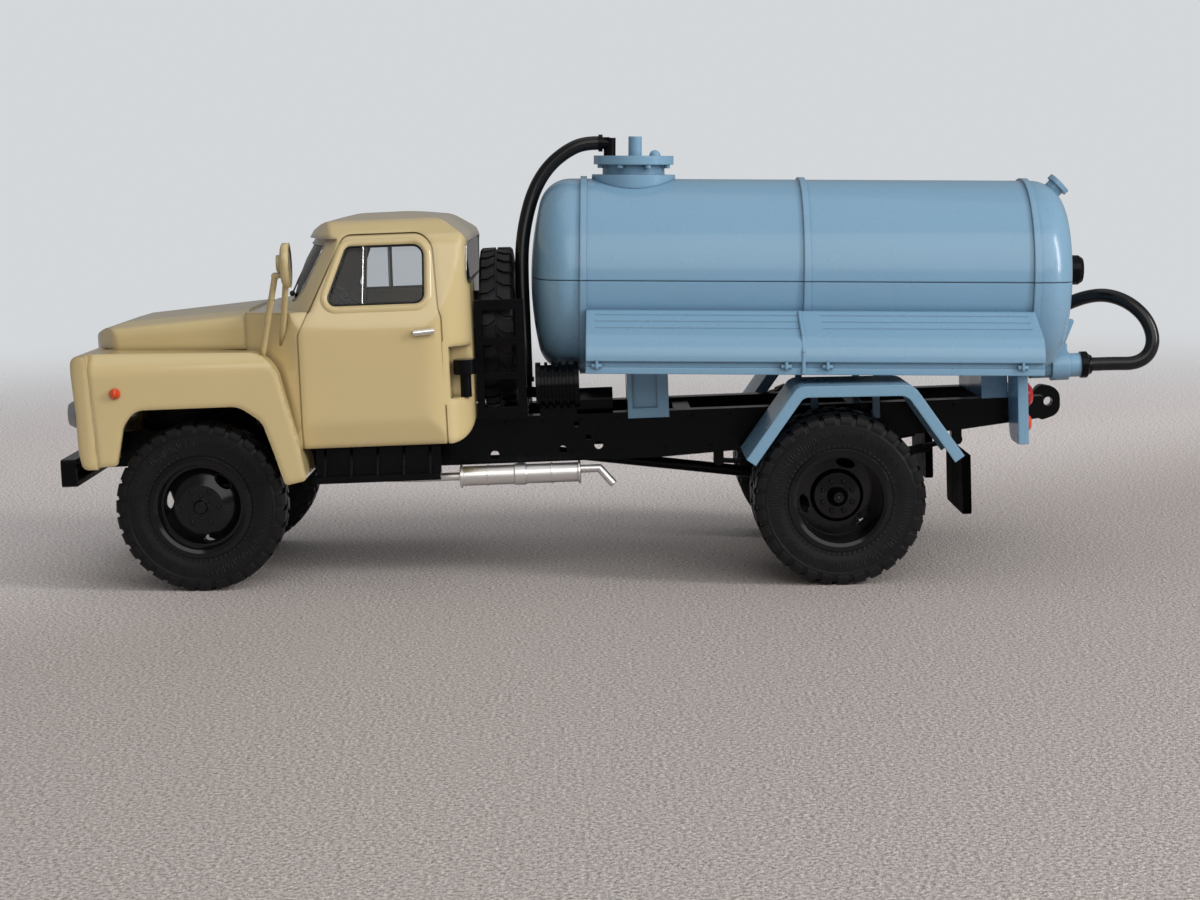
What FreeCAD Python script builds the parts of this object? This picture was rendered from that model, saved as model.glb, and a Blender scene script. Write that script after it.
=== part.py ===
import FreeCAD, Part
import math
import os

V = FreeCAD.Vector

# Scale model of a bonneted vacuum tanker truck, in millimetres.
# The truck is drawn in its chassis frame: origin at the middle of the front axle,
# +X forward, +Y to the truck's left, +Z up, square to the frame rails.
# At the end the whole truck is tipped by its rake and stood on the ground.

# Stance and wheels
wheelbase = 86.0
rake_deg = 1.2
tyre_radius = 11.5
tyre_width = 5.5
rim_radius = 6.6
front_wheel_y = 18.95
twin_middle_y = 19.65
twin_spacing = 6.5
pin_radius = 0.7
pin_clearance = 0.05
hub_radius = 2.0
wheel_side_play = 0.15
hand_holes = 3

# Frame
rail_outer_y = 10.2
rail_flange = 2.6
rail_sheet = 0.9
rail_top = 9.5
rail_deep_bottom = 3.0
rail_nose_bottom = 4.6
rail_tail_bottom = 5.2
rail_rear_depth = 3.0
rail_front_x = 12.0
least_overhang = 24.0

# Cab
cab_bottom = 7.4
cab_front_x = -14.3
cab_rear_x = -37.4
cab_half_width = 22.2
cab_wall = 1.0
cab_roof_top = 38.3
waist_z = 23.5
cowl_x = -6.8
cowl_half_width = cab_half_width - 5.0
cowl_top = waist_z + 2.6
door_groove = 0.22
door_groove_depth = 0.2
floor_sheet = 0.9
glass_sheet = 0.5
glass_inset = 0.25
screen_sweep_radius = 43.0
screen_lean_deg = 31.0
screen_base_x = -9.7
cab_corner_radius = 6.5

# Bonnet, wings and front panel
bonnet_nose_x = 16.6
bonnet_front_half = cowl_half_width - 2.8
bonnet_side_bottom = 20.9
bonnet_fall = 0.07
wing_outer_y = cab_half_width + 2.0
wing_inner_y = front_wheel_y - tyre_width / 2 - 2.6
wing_skin = 1.0
panel_back_x = 13.2
seam_lean = 0.05
panel_bottom = 6.0
panel_top = 21.3
headlamp_y = wing_outer_y - 6.9
headlamp_z = 12.9
headlamp_radius = 2.7
turn_lamp_z = 18.2
grille_half_width = headlamp_y - headlamp_radius - 2.2
grille_low = 8.6
grille_high = 18.6
grille_bars = 7
wide = 2 * cab_half_width

# Tank, in its own tilt; it clears the rear mudguards
tank_front_x = -45.3
tank_length = 76.25
tank_radius = 13.7
tank_tilt_deg = 2.5
dome_crown_radius = 45.0
dome_knuckle = 4.5
band_rise = 0.35
band_width = 0.9
front_band_inset = 7.4
rear_band_inset = 6.6
seam_gap = 0.12

# Places that follow from these
rear_axle_x = -wheelbase
rear_axle_z = -wheelbase * math.sin(math.radians(rake_deg))
guard_top = rear_axle_z + 1.348 * tyre_radius
tank_middle_x = tank_front_x - tank_length / 2
tank_rear_x = tank_front_x - tank_length
tank_axis_z = guard_top - 0.5 + tank_radius
front_band = tank_length / 2 - front_band_inset
rear_band = rear_band_inset - tank_length / 2
rail_rear_x = min(tank_rear_x + 5.45, rear_axle_x - least_overhang)

# Free hoses
hose_diameter = 1.95

pieces = {}
cord_nodes = ("vacuum_hose", "suction_hose")


def put(name, shape):
    """Keep one finished node; solids that touch nothing stay separate in it."""
    pieces[name] = shape
    return shape


def corner(before, here, after, radius):
    """Start, middle and end of the arc that rounds one corner of an outline."""
    ax, ay = before[0] - here[0], before[1] - here[1]
    bx, by = after[0] - here[0], after[1] - here[1]
    la, lb = math.hypot(ax, ay), math.hypot(bx, by)
    ax, ay, bx, by = ax / la, ay / la, bx / lb, by / lb
    half = math.acos(max(-1.0, min(1.0, ax * bx + ay * by))) / 2
    reach = radius / math.tan(half)
    mx, my = ax + bx, ay + by
    lm = math.hypot(mx, my)
    mx, my = mx / lm, my / lm
    away = radius / math.sin(half)
    start = (here[0] + ax * reach, here[1] + ay * reach)
    end = (here[0] + bx * reach, here[1] + by * reach)
    middle = (here[0] + mx * (away - radius), here[1] + my * (away - radius))
    return start, middle, end


def on_plane(plane, level, point):
    """A flat outline point placed in space: plane xz, yz or xy at a level."""
    a, b = point
    if plane == "xz":
        return V(a, level, b)
    if plane == "yz":
        return V(level, a, b)
    return V(a, b, level)


def outline(plane, level, points):
    """A closed wire through points (a, b) or (a, b, corner radius)."""
    count = len(points)
    flat = []
    for i, p in enumerate(points):
        radius = p[2] if len(p) > 2 else 0
        here = (p[0], p[1])
        if radius > 0:
            before = points[i - 1][:2]
            after = points[(i + 1) % count][:2]
            flat.append(corner(before, here, after, radius))
        else:
            flat.append((here, None, here))
    edges = []
    for i in range(count):
        last_end = on_plane(plane, level, flat[i - 1][2])
        start = on_plane(plane, level, flat[i][0])
        if last_end.distanceToPoint(start) > 1e-6:
            edges.append(Part.LineSegment(last_end, start).toShape())
        if flat[i][1] is not None:
            middle = on_plane(plane, level, flat[i][1])
            end = on_plane(plane, level, flat[i][2])
            edges.append(Part.Arc(start, middle, end).toShape())
    return Part.Wire(edges)


def slab(plane, points, low, high):
    """An outline drawn out from low to high along its plane's normal."""
    face = Part.Face(outline(plane, low, points))
    reach = high - low
    way = {"xz": V(0, reach, 0), "yz": V(reach, 0, 0), "xy": V(0, 0, reach)}[plane]
    return face.extrude(way)


def box(x0, x1, y0, y1, z0, z1):
    return Part.makeBox(x1 - x0, y1 - y0, z1 - z0, V(x0, y0, z0))


def rod(start, end, radius):
    """A round bar between two points."""
    way = V(*end) - V(*start)
    return Part.makeCylinder(radius, way.Length, V(*start), way)


def turned(points, axis_point, axis_way, side_way):
    """A solid of revolution from points (along the axis, distance from it)."""
    origin, way, side = V(*axis_point), V(*axis_way), V(*side_way)
    path = [origin + way * a + side * r for a, r in points]
    wire = Part.makePolygon(path + [path[0]])
    return Part.Face(wire).revolve(origin, way, 360)


def mirrored(shape):
    return shape.mirror(V(0, 0, 0), V(0, 1, 0))


def joined(shapes):
    """Touching shapes fused into one clean solid."""
    whole = shapes[0]
    for other in shapes[1:]:
        whole = whole.fuse(other)
    return whole.removeSplitter()


def apart(shapes):
    """Solids of one node that do not touch each other."""
    return Part.makeCompound(list(shapes))


def both_sides(shape):
    return apart([shape, mirrored(shape)])


# Tyres, rims and the axles that carry them
bead_flare = 1.6
rim_wall = 0.6
rim_lip = 0.35
lip_slope = tyre_width * 0.1 * rim_lip / bead_flare


def tyre_section(width):
    """Points (along the axle, distance from it) round a tyre of this width."""
    half = width / 2
    one_side = [(half * 0.6, tyre_radius), (half * 0.86, tyre_radius - 0.3), (half, tyre_radius - 1.5),
                (half, rim_radius + bead_flare), (half * 0.80, rim_radius)]
    return one_side + [(-a, r) for a, r in one_side[::-1]]


def tyre(middle_y, x, z):
    """One road tyre, its section turned round the axle."""
    return turned(tyre_section(tyre_width), (x, middle_y, z), (0, 1, 0), (1, 0, 0))


def with_hand_holes(rim, axle, reach, first_deg, low, high):
    """Oval holes through a wheel disc, longest round the wheel."""
    middle = V(reach, low, 0)
    oval = Part.Ellipse(middle + V(0, 0, 1.3), middle + V(0.62, 0, 0), middle)
    cutter = Part.Face(Part.Wire(oval.toShape())).extrude(V(0, high - low, 0))
    for i in range(hand_holes):
        hole = cutter.copy()
        hole.rotate(V(0, 0, 0), V(0, 1, 0), -first_deg - i * 360 / hand_holes)
        hole.translate(V(axle[0], 0, axle[1]))
        rim = rim.cut(hole)
    return rim


def front_rim():
    """A disc wheel with a flat middle, a sloping ring and a rolled lip."""
    half = tyre_width / 2
    bore = pin_radius + pin_clearance
    section = [(-half * 0.80, rim_radius), (-half * 0.80, rim_radius - rim_wall), (-0.2, rim_radius - rim_wall),
               (-0.2, hub_radius), (-half - 0.3, hub_radius), (-half - 0.3, bore), (half * 0.55, bore),
               (half * 0.55, 0), (half * 0.98, 0), (half * 0.98, 0.8), (half * 0.80, 1.0),
               (half * 0.80, hub_radius * 1.5), (0.9, rim_radius - 1.4), (0.9, rim_radius - 1.0),
               (half * 0.68, rim_radius - 0.9), (half * 0.90, rim_radius - 0.8), (half * 0.98, rim_radius - 0.3),
               (half * 0.95, rim_radius + rim_lip), (half * 0.80 + lip_slope, rim_radius + rim_lip),
               (half * 0.80, rim_radius)]
    rim = turned(section, (0, front_wheel_y, 0), (0, 1, 0), (1, 0, 0))
    return with_hand_holes(rim, (0, 0), hub_radius * 2.2, 13, front_wheel_y - half, front_wheel_y + half)


def rear_rim():
    """Two rims on one hub: the outer disc is deeply dished round a hub cone."""
    half = tyre_width / 2
    outer = twin_middle_y + twin_spacing / 2
    inner = twin_middle_y - twin_spacing / 2
    disc = twin_middle_y + 1.2
    bore = pin_radius + pin_clearance
    section = [(inner - half * 0.80, rim_radius), (inner - half * 0.80, rim_radius - rim_wall),
               (twin_middle_y - 0.5, rim_radius - rim_wall), (twin_middle_y - 0.5, hub_radius * 1.3),
               (inner - half - 0.3, hub_radius), (inner - half - 0.3, bore), (disc, bore),
               (disc, 0), (disc + 2.3, 0), (disc + 2.2, 0.7), (disc + 0.9, 1.3), (disc + 0.3, 1.4),
               (disc + 0.1, hub_radius * 1.55), (disc - 0.7, hub_radius * 1.8), (disc - 0.8, rim_radius - 1.1),
               (outer + half * 0.60, rim_radius - 0.9), (outer + half * 0.90, rim_radius - 0.8),
               (outer + half * 0.98, rim_radius - 0.3), (outer + half * 0.95, rim_radius + rim_lip),
               (outer + half * 0.80 + lip_slope, rim_radius + rim_lip), (outer + half * 0.80, rim_radius)]
    rim = turned(section, (rear_axle_x, 0, rear_axle_z), (0, 1, 0), (1, 0, 0))
    return with_hand_holes(rim, (rear_axle_x, rear_axle_z), hub_radius * 2.25, 107, inner, outer + half)


twins = [tyre(twin_middle_y + way * twin_spacing / 2, rear_axle_x, rear_axle_z) for way in (-1, 1)]
wheel_pieces = [("front_%s_tyre", tyre(front_wheel_y, 0, 0)), ("front_%s_rim", front_rim()),
                ("rear_%s_tyres", apart(twins)), ("rear_%s_rims", rear_rim())]
for name, shape in wheel_pieces:
    put(name % "left", shape)
    put(name % "right", mirrored(shape))

# Steel pins run through the axles and end inside the hubs
front_pin_end = front_wheel_y + tyre_width / 2 * 0.55 - wheel_side_play
rear_pin_end = twin_middle_y + 1.2 - wheel_side_play
front_pin = rod((0, -front_pin_end, 0), (0, front_pin_end, 0), pin_radius)
rear_pin = rod((rear_axle_x, -rear_pin_end, rear_axle_z), (rear_axle_x, rear_pin_end, rear_axle_z), pin_radius)
put("axle_pins", apart([front_pin, rear_pin]))

# Ladder frame: two channel rails, open side inwards, and cross members
rail_marks = [(rail_rear_x, rail_top - rail_rear_depth), (rear_axle_x - 18.0, rail_tail_bottom),
              (rear_axle_x + 24.0, rail_deep_bottom), (-16.0, rail_deep_bottom), (-8.0, rail_nose_bottom),
              (rail_front_x, rail_nose_bottom)]


def rail_bottom_at(x):
    """Height of the rail's lower edge: deep in the middle, tapered to both ends."""
    for (xa, za), (xb, zb) in zip(rail_marks, rail_marks[1:]):
        if xa <= x <= xb:
            return za + (zb - za) * (x - xa) / (xb - xa)
    return rail_marks[-1][1]


def rail_outline(sheet, past):
    """The rail's side view; sheet moves its flanges in, past runs it out of both ends."""
    low = [[x, z + sheet] for x, z in rail_marks]
    low[0][0] -= past
    low[-1][0] += past
    ends = [(low[-1][0], rail_top - sheet), (low[0][0], rail_top - sheet)]
    return [tuple(p) for p in low] + ends


rail_side = slab("xz", rail_outline(0, 0), rail_outer_y - rail_flange, rail_outer_y)
rail_channel = slab("xz", rail_outline(rail_sheet, 1), rail_outer_y - rail_flange - 1, rail_outer_y - rail_sheet)
rail_left = rail_side.cut(rail_channel)
rail_holes = [(-39.5, 4.2, 0.6), (-49.0, 4.6, 0.55), (-54.0, 5.0, 0.6), (-51.0, 8.1, 0.4), (-52.6, 6.2, 0.4)]
for hx, hz, hr in rail_holes:
    rail_left = rail_left.cut(rod((hx, rail_outer_y - 2, hz), (hx, rail_outer_y + 1, hz), hr))

cross_inner = rail_outer_y - rail_sheet
cross_members = [(8.0, 2.4, 4.9, 7.4), (-20.6, 2.0, 3.9, 5.4), (-42.0, 2.4, 5.8, 9.0),
                 (rear_axle_x + 20.0, 2.4, 4.4, 9.0), (rear_axle_x - 4.5, 2.2, 5.3, 9.0),
                 (rail_rear_x + 2.7, 2.2, 6.6, rail_top)]
frame_parts = [rail_left, mirrored(rail_left)]
for cx, cw, cz0, cz1 in cross_members:
    frame_parts.append(box(cx - cw / 2, cx + cw / 2, -cross_inner, cross_inner, cz0, cz1))
put("frame", joined(frame_parts))

# Leaf springs under the rails, with the axles clamped below them
spring_half_width = 1.1
spring_y = rail_outer_y - rail_flange / 2
leaf = 0.45
leaf_step = 0.95 * leaf
front_tube = 1.5
rear_tube = 1.9
front_leaves = 3
rear_leaves = 4


def leaf_spring(x, seat_z, front_end, rear_end, leaves):
    """A pack of curved leaves, longest on top, sloping to its two ends."""
    stack = []
    for k in range(leaves):
        share = 1 - 0.2 * k
        ends = []
        for end_x, end_z in (rear_end, (x, seat_z), front_end):
            rise = (end_z - seat_z) * share ** 2
            ends.append(V(x + (end_x - x) * share, 0, seat_z + rise - leaf_step * k))
        under = [p - V(0, 0, leaf) for p in ends]
        top = Part.Arc(*ends).toShape()
        bottom = Part.Arc(*under).toShape()
        sides = [Part.LineSegment(ends[0], under[0]).toShape(), Part.LineSegment(ends[2], under[2]).toShape()]
        face = Part.Face(Part.Wire(Part.__sortEdges__([top, bottom] + sides)))
        face.translate(V(0, spring_y - spring_half_width, 0))
        stack.append(face.extrude(V(0, 2 * spring_half_width, 0)))
    return stack


def spring_set(x, front_end, rear_end, leaves, clamp_low):
    """Leaves with an eye and a hanger at each end and a clamp over the axle."""
    seat_z = clamp_low + leaf + leaf_step * (leaves - 1)
    parts = leaf_spring(x, seat_z, front_end, rear_end, leaves)
    for end_x, end_z in (front_end, rear_end):
        ex = end_x + (0.2 if end_x < x else -0.2)
        eye_middle = end_z - leaf / 2
        eye = rod((ex, spring_y - spring_half_width, eye_middle),
                  (ex, spring_y + spring_half_width, eye_middle), 0.75)
        hanger = box(ex - 0.7, ex + 0.7, spring_y - 0.8, spring_y + 0.8, eye_middle, rail_bottom_at(ex) + 1.0)
        parts += [eye, hanger.cut(rail_side)]
    clamp_half = spring_half_width + 0.3
    parts.append(box(x - 1.3, x + 1.3, spring_y - clamp_half, spring_y + clamp_half, clamp_low, seat_z + 0.5))
    return joined(parts)


front_spring = spring_set(0, (8.6, 3.5), (-8.6, 3.4), front_leaves, front_tube)
rear_spring = spring_set(rear_axle_x, (rear_axle_x + 15.5, 2.4), (rear_axle_x - 18.2, 4.1), rear_leaves,
                         rear_axle_z + rear_tube)
put("leaf_springs", apart([front_spring, mirrored(front_spring), rear_spring, mirrored(rear_spring)]))

# Front axle: a dropped beam with a knuckle at each end, and the tie rod behind it
beam_end = 13.2
front_hub_inner = front_wheel_y - tyre_width / 2 - 0.3
beam = box(-1.1, 1.1, -beam_end, beam_end, -1.1, 1.1)
for way in (-1, 1):
    pad = box(-1.3, 1.3, way * spring_y - 1.4, way * spring_y + 1.4, -1.1, front_tube)
    knuckle = rod((0, way * (beam_end + 0.6), -2.0), (0, way * (beam_end + 0.6), 2.0), 1.2)
    stub = rod((0, way * beam_end, 0), (0, way * (front_hub_inner - wheel_side_play), 0), 1.4)
    arm = box(-5.0, 0, way * beam_end - 0.5, way * beam_end + 0.5, -1.6, -0.6)
    beam = beam.fuse(pad).fuse(knuckle).fuse(stub).fuse(arm)
beam = beam.fuse(rod((-4.6, -beam_end, -1.1), (-4.6, beam_end, -1.1), 0.45)).removeSplitter()
beam = beam.cut(rod((0, -wide, 0), (0, wide, 0), pin_radius))
put("front_axle_beam", beam)

# Rear axle: tubes with spring pads and a round differential housing
rear_hub_inner = twin_middle_y - twin_spacing / 2 - tyre_width / 2 - 0.3
rear_end = rear_hub_inner - wheel_side_play
housing = rod((rear_axle_x, -rear_end, rear_axle_z), (rear_axle_x, rear_end, rear_axle_z), rear_tube)
bulge = Part.makeSphere(3.9, V(rear_axle_x, 0, rear_axle_z))
bulge = bulge.common(box(rear_axle_x - 5, rear_axle_x + 5, -3.0, 3.0, rear_axle_z - 5, rear_axle_z + 5))
nose_end = (rear_axle_x + 6.0, 0, rear_axle_z + 0.3)
nose = rod((rear_axle_x + 2, 0, rear_axle_z), nose_end, 1.6)
pad = box(rear_axle_x - 1.3, rear_axle_x + 1.3, spring_y - 1.4, spring_y + 1.4,
          rear_axle_z, rear_axle_z + rear_tube)
housing = joined([housing, bulge, nose, pad, mirrored(pad)])
housing = housing.cut(rod((rear_axle_x, -wide, rear_axle_z), (rear_axle_x, wide, rear_axle_z), pin_radius))
put("rear_axle", housing)

# Engine and gearbox as one heavy block on two cross members
engine_seat = 7.4
gearbox_seat = 5.4
gearbox_end = -23.0
engine = slab("xz", [(9.5, engine_seat), (9.5, 15.5, 1), (-5.8, 15.5, 1), (-5.8, engine_seat)], -5.6, 5.6)
sump = slab("xz", [(6.0, engine_seat), (5.0, 4.2, 0.8), (3.6, 2.9, 0.6), (-3.6, 2.9, 0.6), (-5.8, 4.6),
                   (-5.8, engine_seat)], -3.6, 3.6)
gearbox = slab("xz", [(-5.8, 9.1), (-5.8, 4.6), (-12.0, gearbox_seat), (gearbox_end, gearbox_seat),
                      (gearbox_end, 8.2), (-12.0, 9.1)], -2.9, 2.9)
put("engine_gearbox", joined([engine, sump, gearbox]))

# Propeller shaft from the gearbox to the axle nose, with a joint at each end
shaft_front = (gearbox_end, 0, 6.6)
shaft = joined([rod(shaft_front, nose_end, 0.8),
                rod(shaft_front, (gearbox_end - 1.4, 0, 6.6), 1.3),
                rod((nose_end[0] + 1.4, 0, nose_end[2] + 0.07), nose_end, 1.3)])
put("propeller_shaft", shaft)

# Cab


def screen_barrel(grow):
    """The leaning barrel that the windscreen lies on; grow moves its front out."""
    lean = math.radians(screen_lean_deg)
    way = V(-math.sin(lean), 0, math.cos(lean))
    radius = screen_sweep_radius + grow
    base = V(screen_base_x, 0, cowl_top) - V(math.cos(lean), 0, math.sin(lean)) * screen_sweep_radius
    return Part.makeCylinder(radius, 2 * wide, base - way * wide, way)


def cab_body(inset, drop=0.0):
    """The cab's outer form with every wall moved in by inset; drop opens the bottom."""
    low = cab_bottom - drop
    sill = cab_bottom + inset
    rear = cab_rear_x + inset
    half = cab_half_width - inset
    roof = cab_roof_top - inset
    cowl = cowl_top - inset
    side = [(cowl_x - inset, low), (cowl_x - inset, cowl, 0.8), (cab_front_x + 1.3, cowl + 1.1),
            (cab_front_x - 0.1 - inset, roof - 2.6, 0.4), (cab_front_x - 2.9, roof - 1.0, 5),
            (cab_front_x - 6.5, roof - 0.1, 10), (cab_rear_x + 8.4, roof, 20),
            (cab_rear_x + 3.6, roof - 0.9, 4), (rear, roof - 3.4, 2.4), (rear, sill, 3.2 - inset),
            (cab_rear_x + 4.5, sill), (cab_rear_x + 4.5, low)]
    right_half = [(half - 0.9, low), (half, low + 3.4 + drop, 4), (half, waist_z, 6),
                  (half - 3.3, roof - 3.3, 2.6), (half - 8.7, roof - 0.8, 8)]
    left_half = [(-p[0],) + tuple(p[1:]) for p in right_half[::-1]]
    front = right_half + [(0, roof + 0.15, 20)] + left_half
    corner_radius = cab_corner_radius - inset
    plan = [(cowl_x - inset, cowl_half_width - inset), (cab_front_x, half, 3), (rear, half, corner_radius),
            (rear, -half, corner_radius), (cab_front_x, -half, 3), (cowl_x - inset, -cowl_half_width + inset)]
    body = slab("xz", side, -half - 1, half + 1)
    body = body.common(slab("yz", front, cab_rear_x - 2, cowl_x + 2))
    body = body.common(slab("xy", plan, low - 1, cab_roof_top + 2))
    visor_z = roof - 3.0
    ahead = box(cab_rear_x, wide, -wide, wide, cowl - 0.3, wide).cut(screen_barrel(-inset))
    below_visor = ahead.common(box(cab_rear_x, wide, -wide, wide, 0, visor_z))
    visor = box(cab_rear_x, wide, -wide, wide, visor_z, wide).cut(screen_barrel(0.7 - inset))
    return body.cut(below_visor).cut(visor)


cab_outer = cab_body(0)
cab_inner = cab_body(cab_wall, 3.0)
shell = cab_outer.cut(cab_inner)
# The footwell ahead of the doors is open below, where the toe board closes it
shell = shell.cut(box(cab_front_x + 1.9, 0, -wide, wide, 0, 12.6))
# The walls stand clear of the rails and rest on top of them
rail_gap = rail_outer_y + 0.1
shell = shell.cut(box(cab_rear_x - 1, cab_front_x, -rail_gap, rail_gap, 0, rail_top))

window_low = waist_z + 2.9
window_high = cab_roof_top - 4.0
door_window = [(cab_front_x - 3.7, window_low, 1.1), (cab_front_x - 6.8, window_high, 1.0),
               (cab_rear_x + 5.8, window_high, 1.6), (cab_rear_x + 5.9, window_low, 1.3)]
screen_y = cab_half_width - 6.2
screen_hole = [(-screen_y, window_low + 0.5, 1.6), (1.1 - screen_y, window_high + 0.2, 1.4),
               (screen_y - 1.1, window_high + 0.2, 1.4), (screen_y, window_low + 0.5, 1.6)]
rear_y = cab_half_width - 4.2
rear_hole = [(-rear_y, window_low + 2.2, 1.2), (0.6 - rear_y, window_high, 1.2),
             (rear_y - 0.6, window_high, 1.2), (rear_y, window_low + 2.2, 1.2)]
door_cut = slab("xz", door_window, 0, wide)
screen_cut = slab("yz", screen_hole, cab_front_x - 6.5, 5)
rear_cut = slab("yz", rear_hole, cab_rear_x - 5, cab_rear_x + 2.2)
window_skin = cab_body(glass_inset).cut(cab_body(glass_inset + glass_sheet))
shell = shell.cut(door_cut).cut(mirrored(door_cut)).cut(screen_cut).cut(rear_cut)

# The door's edge is an engraved line round each side, open at the sill
door_top = cab_roof_top - 2.7
door_line = [(cab_front_x - 0.2, cab_bottom - 1), (cab_front_x - 0.2, waist_z - 0.8, 1.5),
             (cab_front_x - 6.6, door_top, 1.3), (cab_rear_x + 4.9, door_top, 2.6),
             (cab_rear_x + 4.25, waist_z + 2.2, 1), (cab_rear_x + 3.9, waist_z + 0.9, 1),
             (cab_rear_x + 3.7, cab_bottom - 1)]
door_face = Part.Face(outline("xz", 0, door_line))
groove = door_face.makeOffset2D(door_groove).cut(door_face).extrude(V(0, wide, 0))
groove.translate(V(0, cab_half_width - 9, 0))
groove = groove.cut(cab_body(door_groove_depth))
shell = shell.cut(groove).cut(mirrored(groove))

# A pocket at the left rear corner takes the fuel filler
pocket_y = cab_half_width - 5.2
pocket_front = cab_rear_x + 3.0
pocket_low = 13.4
pocket_high = 20.4
pocket_wall = box(cab_rear_x - 2, pocket_front + 0.8, pocket_y - 0.8, wide,
                  pocket_low - 0.8, pocket_high + 0.8)
pocket = box(cab_rear_x - 2, pocket_front, pocket_y, wide, pocket_low, pocket_high)
shell = shell.fuse(pocket_wall.common(cab_outer)).cut(pocket).removeSplitter()
put("cab_shell", shell)

put("windscreen", window_skin.common(screen_cut))
put("rear_window", window_skin.common(rear_cut))
put("door_glasses", both_sides(window_skin.common(door_cut)))

floor_top = rail_top + floor_sheet
toe_x = cowl_x - 2.0
floor_profile = [(cab_rear_x, rail_top), (cab_front_x - 0.4, rail_top), (toe_x, 14.0), (toe_x, 15.0),
                 (cab_front_x - 0.9, floor_top), (cab_rear_x, floor_top)]
put("cab_floor", slab("xz", floor_profile, -wide, wide).common(cab_inner))

dash_front = cowl_x - 0.5
dash_rear = cab_front_x + 0.7
dash_profile = [(dash_front, 17.5), (dash_front, waist_z + 1), (dash_rear, waist_z + 1, 0.8),
                (dash_rear - 1.0, waist_z - 0.7, 0.6), (dash_rear - 0.2, 17.5, 0.4)]
dashboard = slab("xz", dash_profile, -wide, wide).common(cab_inner)
put("dashboard", dashboard)

seat_half = cab_half_width - 6.2
seat_front = cab_front_x - 7.7
seat_bend = cab_rear_x + 4.8
back_rear = cab_rear_x + 1.2
cushion_top = floor_top + 5.2
back_top = waist_z + 4.1
seat_cushion = slab("xz", [(seat_front, floor_top), (seat_front, cushion_top, 1.4),
                           (seat_bend, cushion_top - 0.6), (seat_bend, floor_top)], -seat_half, seat_half)
seat_back = slab("xz", [(seat_bend, floor_top), (seat_bend, cushion_top - 0.6),
                        (back_rear + 2.0, back_top, 0.7), (back_rear, back_top, 0.7),
                        (back_rear, floor_top)], -seat_half, seat_half)
seat = joined([seat_cushion, seat_back])
put("seat", seat)

wheel_point = V(cab_front_x - 5.3, 10.0, waist_z + 3.7)
wheel_way = V(-0.62, 0, 0.78)
ring = Part.makeTorus(3.7, 0.32, wheel_point, wheel_way)
spoke = rod(tuple(wheel_point - V(0, 3.7, 0)), tuple(wheel_point + V(0, 3.7, 0)), 0.25)
column = rod(tuple(wheel_point + wheel_way * 0.3), tuple(wheel_point - wheel_way * 10.5), 0.5)
steering = joined([ring, column, spoke]).cut(dashboard)
put("steering_wheel", max(steering.Solids, key=lambda s: s.BoundBox.ZMax))

# Bonnet


def bonnet_body(inset):
    """The bonnet's form moved in by inset: side view, plan and two falling half sections met."""
    nose = bonnet_nose_x - inset
    top = cowl_top - inset
    low = bonnet_side_bottom
    side = [(cowl_x, low - 1), (nose, low - 1), (nose, low + 0.5, 0.8), (nose - 0.8, low + 2.0 - inset, 1.4),
            (bonnet_nose_x - 3.0, top - 2.1, 4), (bonnet_nose_x - 7.2, top - 1.0, 8),
            (bonnet_nose_x - 12.2, top - 0.35, 20), (cowl_x, top)]
    rear_half = cowl_half_width - inset
    front_half = bonnet_front_half - inset
    brow_x = nose - 5.0
    right_plan = [(cowl_x, rear_half + 0.5), (brow_x, front_half, front_half * 0.17),
                  (nose - 1.9, front_half * 0.62, front_half * 0.55)]
    left_plan = [(p[0], -p[1]) + tuple(p[2:]) for p in right_plan[::-1]]
    plan = right_plan + [(nose + 0.7, 0, front_half * 1.25)] + left_plan
    section = [(rear_half, low - 6), (rear_half, top - 0.9, 1.6), (rear_half - 5.0, top - 0.1, 12),
               (0, top + 0.4), (-wide, top + 0.4), (-wide, low - 6)]
    narrowing = (rear_half - front_half + 0.15) / (brow_x - cowl_x)
    way = V(1, -narrowing, -bonnet_fall) * wide
    half_form = Part.Face(outline("yz", cowl_x, section)).extrude(way)
    body = slab("xz", side, -wide, wide).common(slab("xy", plan, 15, 40))
    return body.common(half_form).common(mirrored(half_form))


bonnet_outer = bonnet_body(0).cut(box(cowl_x - 1, wide, -wide, wide, 0, bonnet_side_bottom))
put("bonnet", bonnet_outer.cut(bonnet_body(wing_skin)))

# Front panel between the wings' front edges, with its lamps and grille


def seam_x(z):
    """The seam between wing and front panel leans forward."""
    return panel_back_x + seam_lean * (z - headlamp_z)


panel_profile = [(seam_x(panel_bottom), panel_bottom), (14.9, panel_bottom, 0.9), (15.4, 8.2, 3),
                 (15.5, 13.5, 20), (15.9, 18.6, 6), (15.9, panel_top, 1.3), (seam_x(panel_top), panel_top)]
panel_plan = [(10, wing_outer_y), (14.0, wing_outer_y), (16.6, wing_outer_y - 0.6, 2.2),
              (16.6, -wing_outer_y + 0.6, 2.2), (14.0, -wing_outer_y), (10, -wing_outer_y)]
panel = slab("xz", panel_profile, -wing_outer_y, wing_outer_y).common(slab("xy", panel_plan, 0, 30))
grille_hole = [(-grille_half_width, grille_low, 1.2), (-grille_half_width, grille_high, 1.2),
               (grille_half_width, grille_high, 1.2), (grille_half_width, grille_low, 1.2)]
lamp_seat_x = panel_back_x + 0.9
lamp_pocket = rod((lamp_seat_x, headlamp_y, headlamp_z), (20, headlamp_y, headlamp_z), headlamp_radius)
panel = panel.cut(slab("yz", grille_hole, 10, 20)).cut(lamp_pocket).cut(mirrored(lamp_pocket))
panel = panel.cut(bonnet_outer)
put("front_panel", panel)

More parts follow.
